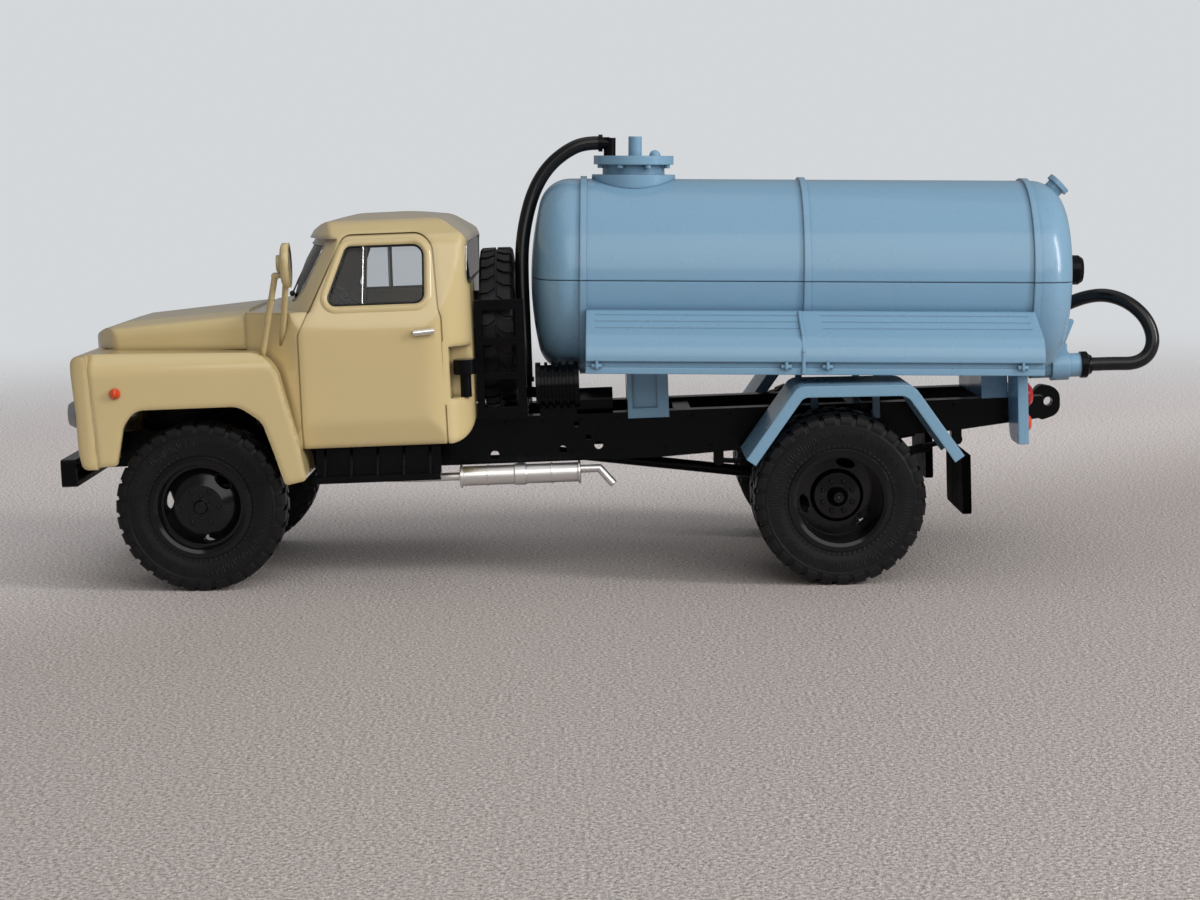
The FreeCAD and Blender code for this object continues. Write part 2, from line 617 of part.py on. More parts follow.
grille_depth = 1.1
grille_x = panel_back_x + 0.4
grille_plate = slab("yz", grille_hole, grille_x, grille_x + grille_depth)
pitch = (grille_high - grille_low) / grille_bars
slot_half = grille_half_width - 0.6
for i in range(grille_bars):
    middle = grille_low + pitch * (i + 0.5)
    slot = box(grille_x + 0.35, 20, -slot_half, slot_half, middle - pitch * 0.3, middle + pitch * 0.3)
    grille_plate = grille_plate.cut(slot)
put("grille", grille_plate)

lamp_depth = 16.1 - lamp_seat_x
lamp_profile = [(0, 0), (0, headlamp_radius), (lamp_depth, headlamp_radius),
                (lamp_depth + 0.4, headlamp_radius - 0.5), (lamp_depth + 0.7, headlamp_radius - 0.7),
                (lamp_depth + 1.6, 1.5), (lamp_depth + 1.9, 0)]
headlamp = turned(lamp_profile, (lamp_seat_x, headlamp_y, headlamp_z), (1, 0, 0), (0, 1, 0))
put("headlamps", both_sides(headlamp))
turn_profile = [(-1.3, 0), (-1.3, 1.3), (0.5, 1.3), (1.0, 0.8), (1.15, 0)]
turn_lamp = turned(turn_profile, (15.9, headlamp_y, turn_lamp_z), (1, 0, 0), (0, 1, 0)).cut(panel)
turn_lamp = max(turn_lamp.Solids, key=lambda s: s.BoundBox.XMax)

# Wings, their arch line given in tyre radii
arch = [(-1.043, 0.252, 0.6), (-0.935, 0.617, 8), (-0.809, 1.009, 3.0), (-0.548, 1.196, 3.5),
        (0.661, 1.196, 2.6), (0.800, 1.009, 2.5), (0.896, 0.557, 0.6)]
wing_top = panel_top
wing_low = 6.3
wing_side = [(seam_x(wing_top), wing_top), (-10.9, wing_top - 0.6, 4.5), (-13.9, 9.0, 12), (-14.9, 3.5, 0.6)]
wing_side += [(x * tyre_radius, z * tyre_radius, r) for x, z, r in arch] + [(seam_x(wing_low), wing_low)]
wing = slab("xz", wing_side, wing_inner_y, wing_outer_y)
wing_hollow = [(seam_x(0) - wing_skin, 0), (seam_x(wing_top) - wing_skin, wing_top - wing_skin),
               (-10.2, wing_top - 0.6 - wing_skin, 3.5), (-12.9, 9.0, 11), (-13.8, 3.5), (-13.8, 0)]
round_top = [(wing_inner_y - 1, 0), (wing_inner_y - 1, wing_top + 4),
             (wing_outer_y - 2.6, wing_top + 0.05, 2), (wing_outer_y, wing_top - 1.8, 2.5), (wing_outer_y, 0)]
round_under = [(wing_inner_y - 5, -1), (wing_inner_y - 5, wing_top),
               (wing_outer_y - 2.9, wing_top - 0.95, 1.2),
               (wing_outer_y - wing_skin, wing_top - 2.3, 1.6), (wing_outer_y - wing_skin, -1)]
wing_cavity = slab("xz", wing_hollow, wing_inner_y - 5, wing_outer_y).common(slab("yz", round_under, -20, 20))
wing = wing.common(slab("yz", round_top, -20, 20)).cut(wing_cavity).cut(cab_outer).cut(bonnet_outer)
wing = max(wing.Solids, key=lambda s: s.Volume)
put("wing_left", wing)
put("wing_right", mirrored(wing))
marker_profile = [(0, 0), (0, 0.75), (0.35, 0.7), (0.75, 0.4), (0.85, 0)]
marker = turned(marker_profile, (10.0, wing_outer_y, 16.1), (0, 1, 0), (1, 0, 0))

# Door mirrors: an oval head with a boss, on two legs and a short stay
mirror_foot_y = wing_outer_y - 3.2
mirror_y = wing_outer_y + 1.0
mirror_z = wing_top + 11.0
mirror_x = -13.9
head_middle = V(mirror_x - 0.45, mirror_y, mirror_z)
head_edge = Part.Ellipse(head_middle + V(0, 0, 2.95), head_middle + V(0, 1.9, 0), head_middle)
head = Part.Face(Part.Wire(head_edge.toShape())).extrude(V(0.9, 0, 0))
boss = rod((mirror_x + 0.3, mirror_y, mirror_z + 0.3), (mirror_x + 1.3, mirror_y, mirror_z + 0.3), 1.1)
knee = (mirror_x + 1.7, mirror_y - 0.5, mirror_z - 1.4)
leg_front = rod((-9.4, mirror_foot_y, wing_top - 1.2), knee, 0.42)
leg_rear = rod((-11.9, cab_half_width - 2.4, wing_top - 0.7), (mirror_x + 0.1, mirror_y, mirror_z - 1.0), 0.42)
stay = rod((-10.5, mirror_foot_y + 1.8, wing_top + 3.6), (-11.5, mirror_y - 1.2, wing_top + 6.4), 0.38)
cross_bar = rod(knee, (mirror_x, mirror_y, mirror_z - 1.0), 0.42)
mirror = joined([leg_front, leg_rear, stay, cross_bar, head, boss, Part.makeSphere(0.5, V(*knee))])
mirror = mirror.cut(wing).cut(cab_outer)
put("door_mirrors", both_sides(max(mirror.Solids, key=lambda s: s.Volume)))

handle_z = waist_z - 0.9
handle_y = cab_half_width + 0.35
handle_x = cab_rear_x + 5.1
handle = rod((handle_x + 2.4, handle_y, handle_z - 0.1), (handle_x - 0.4, handle_y, handle_z + 0.1), 0.42)
handle = handle.fuse(rod((handle_x, handle_y - 0.85, handle_z), (handle_x, handle_y, handle_z), 0.36))
put("door_handles", both_sides(handle.cut(cab_outer)))

# Steps below the doors
step_outer = cab_half_width - 0.3
step_inner = rail_outer_y + 2.0
step_low = 2.6
step_tread = 3.4
step_profile = [(step_outer, step_low), (step_outer, step_tread), (step_outer - 2.1, step_tread + 0.2),
                (step_outer - 2.5, cab_bottom), (step_inner, cab_bottom), (step_inner, cab_bottom - 1),
                (step_outer - 3.5, cab_bottom - 1), (step_outer - 3.3, step_low)]
step = slab("yz", step_profile, -32.6, -15.7)
for i in range(5):
    rib_x = -17.0 - i * 3.55
    rib_shape = [(step_outer - 0.3, step_tread), (step_outer - 2.7, cab_bottom),
                 (step_outer - 2.7, step_tread - 0.4)]
    rib = slab("yz", rib_shape, rib_x - 0.18, rib_x + 0.18)
    step = step.fuse(rib)
for x0, x1 in ((-31.5, -29.5), (-19.0, -17.0)):
    step = step.fuse(box(x0, x1, rail_outer_y, step_inner + 0.1, cab_bottom - 1, cab_bottom))
put("cab_steps", both_sides(step.removeSplitter()))

# Bumper: a channel bar on two horns under the front panel
bumper_face = 18.2
bumper_half = wing_outer_y - 1.4
bumper_low = 3.6
bumper_high = 7.3
bar = slab("yz", [(-bumper_half, bumper_low, 0.5), (-bumper_half, bumper_high, 0.5),
                  (bumper_half, bumper_high, 0.5), (bumper_half, bumper_low, 0.5)], bumper_face - 2.0, bumper_face)
bar = bar.cut(box(bumper_face - 2.2, bumper_face - 0.8, -bumper_half + 0.8, bumper_half - 0.8,
                  bumper_low + 0.7, bumper_high - 0.7))
rail_inner_y = rail_outer_y - rail_flange
horn = box(rail_front_x, bumper_face - 0.8, rail_inner_y, rail_outer_y, rail_nose_bottom, rail_nose_bottom + 1.2)
hanger_front = seam_x(panel_bottom) - 0.05
hanger = box(rail_front_x, hanger_front, rail_inner_y, rail_outer_y, rail_nose_bottom, rail_top)
put("front_bumper", joined([bar, horn, hanger, mirrored(horn), mirrored(hanger)]))

# Silencer and pipes under the left rail
silencer_y = rail_outer_y + 3.0
silencer_z = 1.8
silencer_front = -34.8
silencer_rear = -51.3
strap_x = -43.05
silencer = turned([(silencer_rear, 0), (silencer_rear, 1.2), (silencer_rear + 0.4, 1.35),
                   (strap_x - 0.85, 1.35), (strap_x - 0.75, 1.5), (strap_x + 0.75, 1.5), (strap_x + 0.85, 1.35),
                   (silencer_front - 0.4, 1.35), (silencer_front, 1.2), (silencer_front, 0)],
                  (0, silencer_y, silencer_z), (1, 0, 0), (0, 1, 0))
front_knee = (-29.0, silencer_y, silencer_z)
tail_knee = (silencer_rear - 2.7, silencer_y, silencer_z + 0.4)
pipes = [rod((silencer_front - 0.2, silencer_y, silencer_z), front_knee, 0.55),
         rod(front_knee, (-24.0, silencer_y - 1.4, silencer_z), 0.55),
         rod((silencer_rear + 0.3, silencer_y, silencer_z + 0.4), tail_knee, 0.55),
         rod(tail_knee, (tail_knee[0] - 1.9, silencer_y + 0.6, silencer_z - 1.8), 0.55),
         Part.makeSphere(0.55, V(*front_knee)), Part.makeSphere(0.55, V(*tail_knee)),
         box(strap_x - 0.5, strap_x + 0.5, rail_outer_y - 1.0, silencer_y,
             rail_deep_bottom - 0.7, rail_deep_bottom)]
put("exhaust", joined([silencer] + pipes))

# Spare wheel, upright across the truck in its carrier behind the cab
spare_x = cab_rear_x - 3.15
spare_z = rail_top + tyre_radius + 0.2
spare_width = 4.9
spare_half = spare_width / 2
put("spare_tyre", turned(tyre_section(spare_width), (spare_x, 0, spare_z), (1, 0, 0), (0, 0, 1)))
spare_rim = turned([(-spare_half * 0.8, rim_radius), (-spare_half * 0.8, rim_radius - rim_wall),
                    (0.2, rim_radius - rim_wall), (0.2, 0), (0.9, 0), (0.9, hub_radius),
                    (0.6, rim_radius - rim_wall), (spare_half * 0.8, rim_radius - rim_wall),
                    (spare_half * 0.8, rim_radius)],
                   (spare_x, 0, spare_z), (1, 0, 0), (0, 0, 1))
put("spare_rim", spare_rim)

carrier_front = cab_rear_x - 0.2
carrier_depth = 6.8
carrier_rear = carrier_front - carrier_depth
carrier_y = tyre_radius + 0.7
carrier_top = spare_z + 4.8
carrier_sheet = 0.8
carrier_post = 1.0
window_step = (carrier_top - rail_top - 2.1) / 3
side_frame = box(carrier_rear, carrier_front, carrier_y, carrier_y + carrier_sheet, rail_top, carrier_top)
for i in range(3):
    z0 = rail_top + 1.7 + i * window_step
    side_frame = side_frame.cut(box(carrier_rear + 1.2, carrier_front - carrier_post,
                                    carrier_y - 1, carrier_y + 2, z0, z0 + window_step - 1.0))
foot = box(carrier_rear, carrier_rear + 1.2, rail_inner_y, carrier_y, rail_top, rail_top + 0.8)
carrier_bar = box(carrier_rear + 0.2, carrier_rear + 1.0, -carrier_y, carrier_y, rail_top, rail_top + 0.8)
hub_bolt = rod((spare_x + 0.9, 0, spare_z), (carrier_front - 0.2, 0, spare_z), 1.2)
back_strap = box(carrier_front - 0.5, carrier_front, -carrier_y, carrier_y, spare_z - 1.0, spare_z + 1.0)
put("spare_carrier", joined([side_frame, mirrored(side_frame), foot, mirrored(foot), carrier_bar, back_strap,
                             hub_bolt]))

# Tank: a cylinder with dished ends, split along its middle, with three raised bands


def on_tank(shape):
    """Move a shape from the tank's own frame into the chassis frame."""
    moved = shape.copy()
    moved.rotate(V(0, 0, 0), V(0, 1, 0), -tank_tilt_deg)
    moved.translate(V(tank_middle_x, 0, tank_axis_z))
    return moved


def tank_point(x, y, z):
    """A point of the tank's own frame, in the chassis frame."""
    tilt = math.radians(tank_tilt_deg)
    return V(tank_middle_x + x * math.cos(tilt) - z * math.sin(tilt), y,
             tank_axis_z + x * math.sin(tilt) + z * math.cos(tilt))


def drum_profile(inset):
    """Half the tank's outline moved in by inset, above the axis along X, middle at the origin."""
    radius = tank_radius - inset
    crown = dome_crown_radius - inset
    knuckle = dome_knuckle - inset
    end = tank_length / 2 - inset
    arm = crown - knuckle
    depth = crown - math.sqrt(arm ** 2 - (radius - knuckle) ** 2)
    slope = math.asin((radius - knuckle) / arm)
    bend = (slope + math.pi / 2) / 2
    edges = []
    for way in (1, -1):
        crown_middle = way * (end - crown)
        knuckle_x = way * (end - depth)
        tip = V(end * way, 0, 0)
        half = V(crown_middle + way * crown * math.cos(slope / 2), 0, crown * math.sin(slope / 2))
        meet = V(crown_middle + way * crown * math.cos(slope), 0, crown * math.sin(slope))
        turn = V(knuckle_x + way * knuckle * math.cos(bend), 0, radius - knuckle + knuckle * math.sin(bend))
        edges.append(Part.Arc(tip, half, meet).toShape())
        edges.append(Part.Arc(meet, turn, V(knuckle_x, 0, radius)).toShape())
    edges.append(Part.LineSegment(V(end - depth, 0, radius), V(depth - end, 0, radius)).toShape())
    edges.append(Part.LineSegment(V(-end, 0, 0), V(end, 0, 0)).toShape())
    return Part.Face(Part.Wire(Part.__sortEdges__(edges)))


banded = drum_profile(0).revolve(V(0, 0, 0), V(1, 0, 0), 360)
for x in (rear_band, 0, front_band):
    ring = Part.makeCylinder(tank_radius + band_rise, band_width, V(x - band_width / 2, 0, 0), V(1, 0, 0))
    banded = banded.fuse(ring)
banded = banded.removeSplitter()
above = box(-tank_length, tank_length, -wide, wide, 0, wide)
below = box(-tank_length, tank_length, -wide, wide, -wide, -seam_gap)
half_outline = drum_profile(0.3)
half_outline.rotate(V(0, 0, 0), V(1, 0, 0), 90)
half_lip = half_outline.extrude(V(0, 0, -2 * seam_gap))
lip = half_lip.fuse(mirrored(half_lip)).removeSplitter()
put("tank_upper", on_tank(banded.common(above)))
put("tank_lower", on_tank(banded.common(below).fuse(lip)))
tank_whole = on_tank(banded)

# Hose trays: curved covers from the tank's sides out and down to a ledge
tray_front = front_band - band_width / 2
tray_rear = rear_band + band_width / 2
tray_outer = tank_radius + 9.5
tray_top = 9.7 - tank_radius
tray_low = 3.4 - tank_radius
tray_ledge = 1.7 - tank_radius
tray_profile = [(tank_radius - 0.7, tray_top), (tank_radius + 0.9, tray_top - 0.05, 0.5),
                (tank_radius + 5.1, tray_top - 1.9, 8), (tray_outer, tray_low + 2.6, 3.5),
                (tray_outer, tray_low), (tray_outer - 0.5, tray_low), (tray_outer - 0.5, tray_low - 0.8),
                (tray_outer - 0.2, tray_low - 0.8), (tray_outer - 0.2, tray_ledge),
                (tank_radius - 5.7, tray_ledge)]
tray = slab("yz", tray_profile, tray_rear, tray_front)
lowered = slab("yz", [(p[0], p[1] - 0.14) + tuple(p[2:]) for p in tray_profile], -tank_length, tank_length)
for line_y in (tank_radius + 2.0, tank_radius + 3.7, tank_radius + 5.5):
    for x0, x1 in ((tray_rear + 1.2, -1.6), (0.9, tray_front - 1.2)):
        line = box(x0, x1, line_y - 0.1, line_y + 0.1, tray_ledge, 0)
        tray = tray.cut(line.cut(lowered))
tray_left = on_tank(tray.cut(banded))
tray_right = mirrored(tray_left)
put("hose_trays", apart([tray_left, tray_right]))


def under_tank(shape):
    """What stays of a cradle under the tank and its trays."""
    rest = shape.cut(tank_whole).cut(tray_left).cut(tray_right).removeSplitter()
    return min(rest.Solids, key=lambda s: s.BoundBox.ZMin)


# Cradles carry the tank on the rails
front_band_x = tank_middle_x + front_band
rear_band_x = tank_middle_x + rear_band
saddle_rear = front_band_x - 11.25
saddle_front = front_band_x - 5.55
saddle_y = rail_outer_y + 0.9
front_cradle = box(saddle_rear, saddle_front, -saddle_y, saddle_y, rail_top, tank_axis_z - 4.9)
recess = box(saddle_rear + 1.6, saddle_front - 0.7, saddle_y - 0.4, saddle_y + 2, rail_top + 0.6, tank_axis_z)
front_cradle = front_cradle.cut(recess).cut(mirrored(recess))
front_cradle = front_cradle.cut(box(saddle_rear - 1, saddle_front + 1, -6.0, 6.0, rail_top - 1, rail_top + 2.9))
for y0, y1 in ((rail_outer_y, saddle_y), (-saddle_y, -rail_outer_y)):
    front_cradle = front_cradle.fuse(box(saddle_rear, saddle_front, y0, y1, rail_top - 0.8, rail_top))
rear_cradle = box(rear_band_x + 3.85, rear_band_x + 7.45, -rail_outer_y, rail_outer_y,
                  rail_top, tank_axis_z - 8.9)
put("tank_cradles", apart([under_tank(front_cradle), under_tank(rear_cradle)]))

# Manhole: saddle pad, neck and a bolted flange with a vent stub
manhole_x = front_band - 7.05
neck_radius = 4.4
flange_radius = 5.65
flange_low = tank_radius + 2.0
flange_high = tank_radius + 3.25
bolt_ring = flange_radius - 0.6
stub_x = manhole_x - 0.2
manhole = [Part.makeCylinder(neck_radius + 1.5, 4, V(manhole_x, 0, tank_radius - 3.4)),
           Part.makeCylinder(neck_radius, flange_low - tank_radius + 2, V(manhole_x, 0, tank_radius - 2)),
           Part.makeCylinder(flange_radius, flange_high - flange_low, V(manhole_x, 0, flange_low)),
           Part.makeCylinder(0.95, 2.7, V(stub_x, 0, flange_high)),
           Part.makeSphere(0.8, V(stub_x - 2.8, 0, flange_high))]
for i in range(8):
    angle = math.radians(22.5 + 45 * i)
    bolt = V(manhole_x + bolt_ring * math.cos(angle), bolt_ring * math.sin(angle), flange_low - 0.5)
    manhole.append(Part.makeCylinder(0.45, 0.6, bolt))
manhole = joined(manhole).cut(banded).cut(Part.makeCylinder(0.6, 2.0, V(stub_x, 0, flange_high + 0.9)))
put("manhole", on_tank(max(manhole.Solids, key=lambda s: s.Volume)))

# Elbow on the manhole flange, where the vacuum hose starts
elbow_x = manhole_x + 3.4
elbow_z = flange_high + 1.75
elbow_end = elbow_x + 1.6
elbow = joined([Part.makeCylinder(0.85, elbow_z - flange_high + 0.75, V(elbow_x, 0, flange_high)),
                Part.makeCylinder(0.85, elbow_end - elbow_x, V(elbow_x, 0, elbow_z), V(1, 0, 0)),
                Part.makeCylinder(1.2, 0.6, V(elbow_end - 0.6, 0, elbow_z), V(1, 0, 0))])
put("hose_elbow", on_tank(elbow))

# Vacuum pump with its oil cylinder, standing on the left rail
pump_y = rail_outer_y - 1.2
pump_z = rail_top + 4.0
pump_front = -45.6
pump_rear = -51.6
inlet_x = pump_front + 1.5
inlet_y = pump_y - 4.4
inlet_z = pump_z - 1.1
inlet_top = inlet_z + 2.0
oil_axis = (pump_y - 0.2, rail_top + 1.75)
pump_parts = [rod((pump_rear, pump_y, pump_z), (pump_front, pump_y, pump_z), 2.9)]
pump_flanges = [(pump_front - 0.7, 0.7), (pump_rear, 0.7)] + [(pump_rear + 1.35 + i, 0.4) for i in range(4)]
for x0, length in pump_flanges:
    pump_parts.append(rod((x0, pump_y, pump_z), (x0 + length, pump_y, pump_z), 3.3))
pump_parts += [box(pump_rear + 0.4, pump_front - 0.4, pump_y - 1.4, pump_y + 1.2, rail_top, pump_z),
               rod((pump_rear - 4.6,) + oil_axis, (pump_rear + 0.5,) + oil_axis, 1.75),
               rod((pump_front - 1, pump_y - 1.2, inlet_z), (inlet_x, inlet_y, inlet_z), 0.75),
               Part.makeSphere(0.75, V(inlet_x, inlet_y, inlet_z)),
               rod((inlet_x, inlet_y, inlet_z), (inlet_x, inlet_y, inlet_top), 0.75),
               rod((inlet_x, inlet_y, inlet_top - 0.6), (inlet_x, inlet_y, inlet_top), 1.15)]
put("vacuum_pump", joined(pump_parts).cut(tank_whole))

# Hoses


def hose(name, points):
    """A round hose along straight runs joined by tangent arcs."""
    points = [V(*p) for p in points]
    edges = []
    start = points[0]
    tightest = 1e9
    for before, here, after in zip(points, points[1:], points[2:]):
        into, out = before - here, after - here
        reach = 0.45 * min(into.Length, out.Length)
        a, b = into.normalize(), out.normalize()
        half_turn = (math.pi - a.getAngle(b)) / 2
        radius = reach / math.tan(half_turn)
        p0, p1 = here + a * reach, here + b * reach
        middle = here + (a + b).normalize() * (radius / math.cos(half_turn) - radius)
        edges.append(Part.LineSegment(start, p0).toShape())
        edges.append(Part.Arc(p0, middle, p1).toShape())
        start = p1
        tightest = min(tightest, radius)
    edges.append(Part.LineSegment(start, points[-1]).toShape())
    path = Part.Wire(edges)
    ring = Part.Wire(Part.makeCircle(hose_diameter / 2, points[0], points[1] - points[0]))
    body = path.makePipeShell([ring], True, False)
    print(name, "length", round(path.Length, 2), "tightest bend", round(tightest, 2))
    return put(name, body)


tank_crest = tank_axis_z + tank_radius
fall = tank_crest - inlet_top
vacuum_route = [tuple(tank_point(elbow_end, 0, elbow_z)), tuple(tank_point(elbow_end + 1.9, 0, elbow_z)),
                (-51.2, 0.0, tank_crest + 5.4), (-48.4, 0.1, tank_crest + 3.3), (-46.3, 0.4, tank_crest + 0.2),
                (-45.0, 1.0, inlet_top + 0.863 * fall), (-44.2, 1.9, inlet_top + 0.702 * fall),
                (-44.05, 2.8, inlet_top + 0.519 * fall), (-44.1, 3.6, inlet_top + 0.313 * fall),
                (inlet_x, inlet_y, inlet_top + 3.6), (inlet_x, inlet_y, inlet_top)]
hose("vacuum_hose", vacuum_route)

# Rear: outlet valve with its lever, coupling and the looped suction hose
rear = tank_point(-tank_length / 2, 0, 0)
outlet_z = rear.z - 0.915 * tank_radius
coupling_front = tank_rear_x - 1.75
coupling_length = 1.6
coupling_end = coupling_front - coupling_length
stem_x = tank_rear_x + 1.25
lever = slab("xz", [(stem_x + 0.3, outlet_z + 3.0), (stem_x - 0.8, outlet_z + 3.0),
                    (stem_x - 2.3, outlet_z + 6.6, 0.3), (stem_x - 1.3, outlet_z + 6.6, 0.3)], -0.4, 0.4)
valve = joined([rod((tank_rear_x + 5.55, 0, outlet_z), (coupling_front, 0, outlet_z), 1.7),
                rod((stem_x + 1.3, 0, outlet_z), (stem_x - 1.2, 0, outlet_z), 2.1),
                box(stem_x - 0.9, stem_x + 0.9, -1.5, 1.5, outlet_z, outlet_z + 3.2), lever]).cut(tank_whole)
put("outlet_valve", min(valve.Solids, key=lambda s: s.BoundBox.XMin))
coupling_profile = [(0, 0), (0, 1.9), (-0.9, 1.9), (-1.2, 1.5), (-coupling_length, 1.3),
                    (-coupling_length, 0)]
coupling = turned(coupling_profile, (coupling_front, 0, outlet_z), (1, 0, 0), (0, 0, 1))

# The loop's points are given in tank radii from the middle of the rear end
loop = [(-0.481, 0.0, -0.915), (-0.712, 0.0, -0.926), (-0.862, -0.007, -0.838), (-0.914, -0.029, -0.666),
        (-0.849, -0.088, -0.455), (-0.688, -0.182, -0.290), (-0.488, -0.321, -0.212),
        (-0.302, -0.490, -0.238), (-0.120, -0.615, -0.318), (0.055, -0.694, -0.392)]
suction_route = [(coupling_end, 0.0, outlet_z)]
suction_route += [tuple(rear + V(*p) * tank_radius) for p in loop]
hose("suction_hose", suction_route)
socket_start = V(*suction_route[-1])
socket_way = (socket_start - V(*suction_route[-2])).normalize()
socket = rod(tuple(socket_start), tuple(socket_start + socket_way * 0.33 * tank_radius), 1.2).cut(tank_whole)
socket = min(socket.Solids, key=lambda s: s.BoundBox.XMin)
put("hose_coupling", apart([coupling, socket]))

# Sight glass in the rear end above the seam, and a vent on its shoulder
sight_high = 1.1
sight = turned([(2.0, 0), (2.0, 2.1), (-1.6, 2.1), (-2.2, 1.7), (-2.0, 1.3), (-1.2, 1.2), (-1.2, 0)],
               (-tank_length / 2, 0, sight_high), (1, 0, 0), (0, 0, 1))
put("sight_glass", on_tank(sight.cut(banded)))
knuckle_arm = dome_crown_radius - dome_knuckle
dome_depth = dome_crown_radius - math.sqrt(knuckle_arm ** 2 - (tank_radius - dome_knuckle) ** 2)
vent_centre = V(dome_depth - tank_length / 2, 0, tank_radius - dome_knuckle)
vent_way = V(-1, 0, 1).normalize()
vent_marks = [tuple(vent_centre + vent_way * (dome_knuckle + rise)) for rise in (-1.4, 0.8, 1.5)]
vent = joined([rod(vent_marks[0], vent_marks[1], 1.3), rod(vent_marks[1], vent_marks[2], 1.7)]).cut(banded)
put("tank_vent", on_tank(max(vent.Solids, key=lambda s: s.Volume)))

# Rear mudguards, their brackets and the flaps; the guard's line is given in tyre radii
guard_outer = twin_middle_y + 6.15
guard_inner = twin_middle_y - 7.25
guard_sheet = 0.8
guard_rim = 1.5
guard_shape = [(1.078, 0.522, 0), (0.461, 1.348, 1.8), (-0.870, 1.322, 2.4), (-1.443, 0.470, 0)]
guard_line = [(rear_axle_x + x * tyre_radius, rear_axle_z + z * tyre_radius) for x, z, _ in guard_shape]


def below_line(depth):
    """The mudguard's line moved inwards by depth, square to its runs."""
    normals = []
    for (xa, za), (xb, zb) in zip(guard_line, guard_line[1:]):
        run = math.hypot(xb - xa, zb - za)
        normals.append((-(zb - za) / run, (xb - xa) / run))
    inner = []
    for i, (x, z) in enumerate(guard_line):
        here = [normals[j] for j in (i - 1, i) if 0 <= j < len(normals)]
        nx, nz = sum(n[0] for n in here), sum(n[1] for n in here)
        grow = depth * len(here) / (nx * nx + nz * nz)
        inner.append((x + nx * grow, z + nz * grow))
    return inner


def strip(depth, low, high):
    """A bent strip, depth thick below the mudguard's line."""
    outer = [p + (g[2],) for p, g in zip(guard_line, guard_shape)]
    back = [p + (max(g[2] - 0.6, 0),) for p, g in zip(below_line(depth), guard_shape)]
    return slab("xz", outer + back[::-1], low, high)


guard_parts = [strip(guard_sheet, guard_inner, guard_outer),
               strip(guard_rim, guard_outer - 0.5, guard_outer),
               strip(guard_rim, guard_inner, guard_inner + 0.5)]
for bracket_x in (rear_axle_x + 2.0, rear_axle_x - 6.5):
    guard_parts += [box(bracket_x - 0.5, bracket_x + 0.5, rail_outer_y, guard_inner + 0.5, 7.6, 8.6),
                    box(bracket_x - 0.5, bracket_x + 0.5, guard_inner, guard_inner + 0.5, 7.6, guard_top - 0.5)]
guard = joined(guard_parts)
put("rear_mudguards", both_sides(guard))
flap_x = guard_line[-1][0] - 0.3
flap_top = guard_line[-1][1]
flap_inner = rail_outer_y + 0.3
flap_outer = guard_outer - 0.4
flap = slab("yz", [(flap_inner, flap_top - 8.0, 0.8), (flap_inner, flap_top), (flap_outer, flap_top),
                   (flap_outer, flap_top - 8.0, 0.8)], flap_x - 0.55, flap_x + 0.55)
put("mudflaps", both_sides(flap.cut(guard)))

# Rear lamp panels on the rail ends, with their lamps
lamp_panel_x = rail_rear_x + 3.5
lamp_panel_outer = rail_outer_y + 7.6
lamp_y = rail_outer_y + 4.2
lamp_panel = slab("yz", [(rail_outer_y, 3.8, 2.6), (rail_outer_y, 13.2), (lamp_panel_outer, 13.2),
                         (lamp_panel_outer, 3.8)], lamp_panel_x, lamp_panel_x + 1.4)
put("rear_lamp_panels", both_sides(lamp_panel))
rear_lamp = turned([(0, 0), (0, 1.7), (-0.6, 1.7), (-1.1, 1.1), (-1.2, 0)],
                   (lamp_panel_x, lamp_y, 10.2), (1, 0, 0), (0, 1, 0))
rear_turn = turned([(0, 0), (0, 1.3), (-0.5, 1.3), (-0.9, 0.8), (-1.0, 0)],
                   (lamp_panel_x, lamp_y, 6.4), (1, 0, 0), (0, 1, 0))
put("rear_stop_lamps", both_sides(rear_lamp))
lamps = [turn_lamp, marker, rear_turn]
put("turn_lamps", apart(lamps + [mirrored(lamp) for lamp in lamps]))

# Towing hook on the last cross member
hook_x = rail_rear_x - 2.4
hook_eye_z = 7.7
hook_plate = slab("xz", [(rail_rear_x + 1.5, 6.6), (rail_rear_x + 1.5, 9.0), (rail_rear_x - 0.3, 8.6),
                         (rail_rear_x - 0.9, 10.3, 1.2), (rail_rear_x - 4.1, 9.6, 1.8),
                         (rail_rear_x - 4.1, 5.9, 1.8), (rail_rear_x - 1.3, 5.0, 0.8),
                         (rail_rear_x - 0.1, 6.4)], -0.9, 0.9)
hook = hook_plate.cut(rod((hook_x, -3, hook_eye_z), (hook_x, 3, hook_eye_z), 0.65))
put("tow_hook", joined([hook, box(rail_rear_x, rail_rear_x + 1.6, -3.4, 3.4, 6.6, rail_top)]))

# Fuel filler in its pocket at the cab's left rear corner
filler_x = cab_rear_x + 1.0
filler_y = cab_half_width - 3.3
filler = joined([rod((filler_x, filler_y, pocket_low), (filler_x, filler_y, 16.6), 0.75),
                 rod((filler_x, filler_y, 16.5), (filler_x, filler_y, 18.5), 1.6)])
put("fuel_filler", filler.cut(pieces["cab_shell"]))

# Final placing


def measured_box(shapes):
    """Lowest and highest corner of all shapes together."""
    low = [1e9] * 3
    high = [-1e9] * 3
    for shape in shapes:
        for p in shape.tessellate(0.02)[0]:
            for k, value in enumerate((p.x, p.y, p.z)):
                low[k] = min(low[k], value)
                high[k] = max(high[k], value)
    return low, high


for shape in pieces.values():
    shape.rotate(V(0, 0, 0), V(0, 1, 0), rake_deg)
low, high = measured_box([s for n, s in pieces.items() if n not in cord_nodes])
shift = V(-(low[0] + high[0]) / 2, 0, tyre_radius)
os.makedirs("parts", exist_ok=True)
for name, shape in pieces.items():
    shape.translate(shift)
    shape.exportStep("parts/%s.step" % name)
    print(name, len(shape.Solids), round(shape.Volume, 2), shape.isValid())
print("shift", shift, "box", low, high)
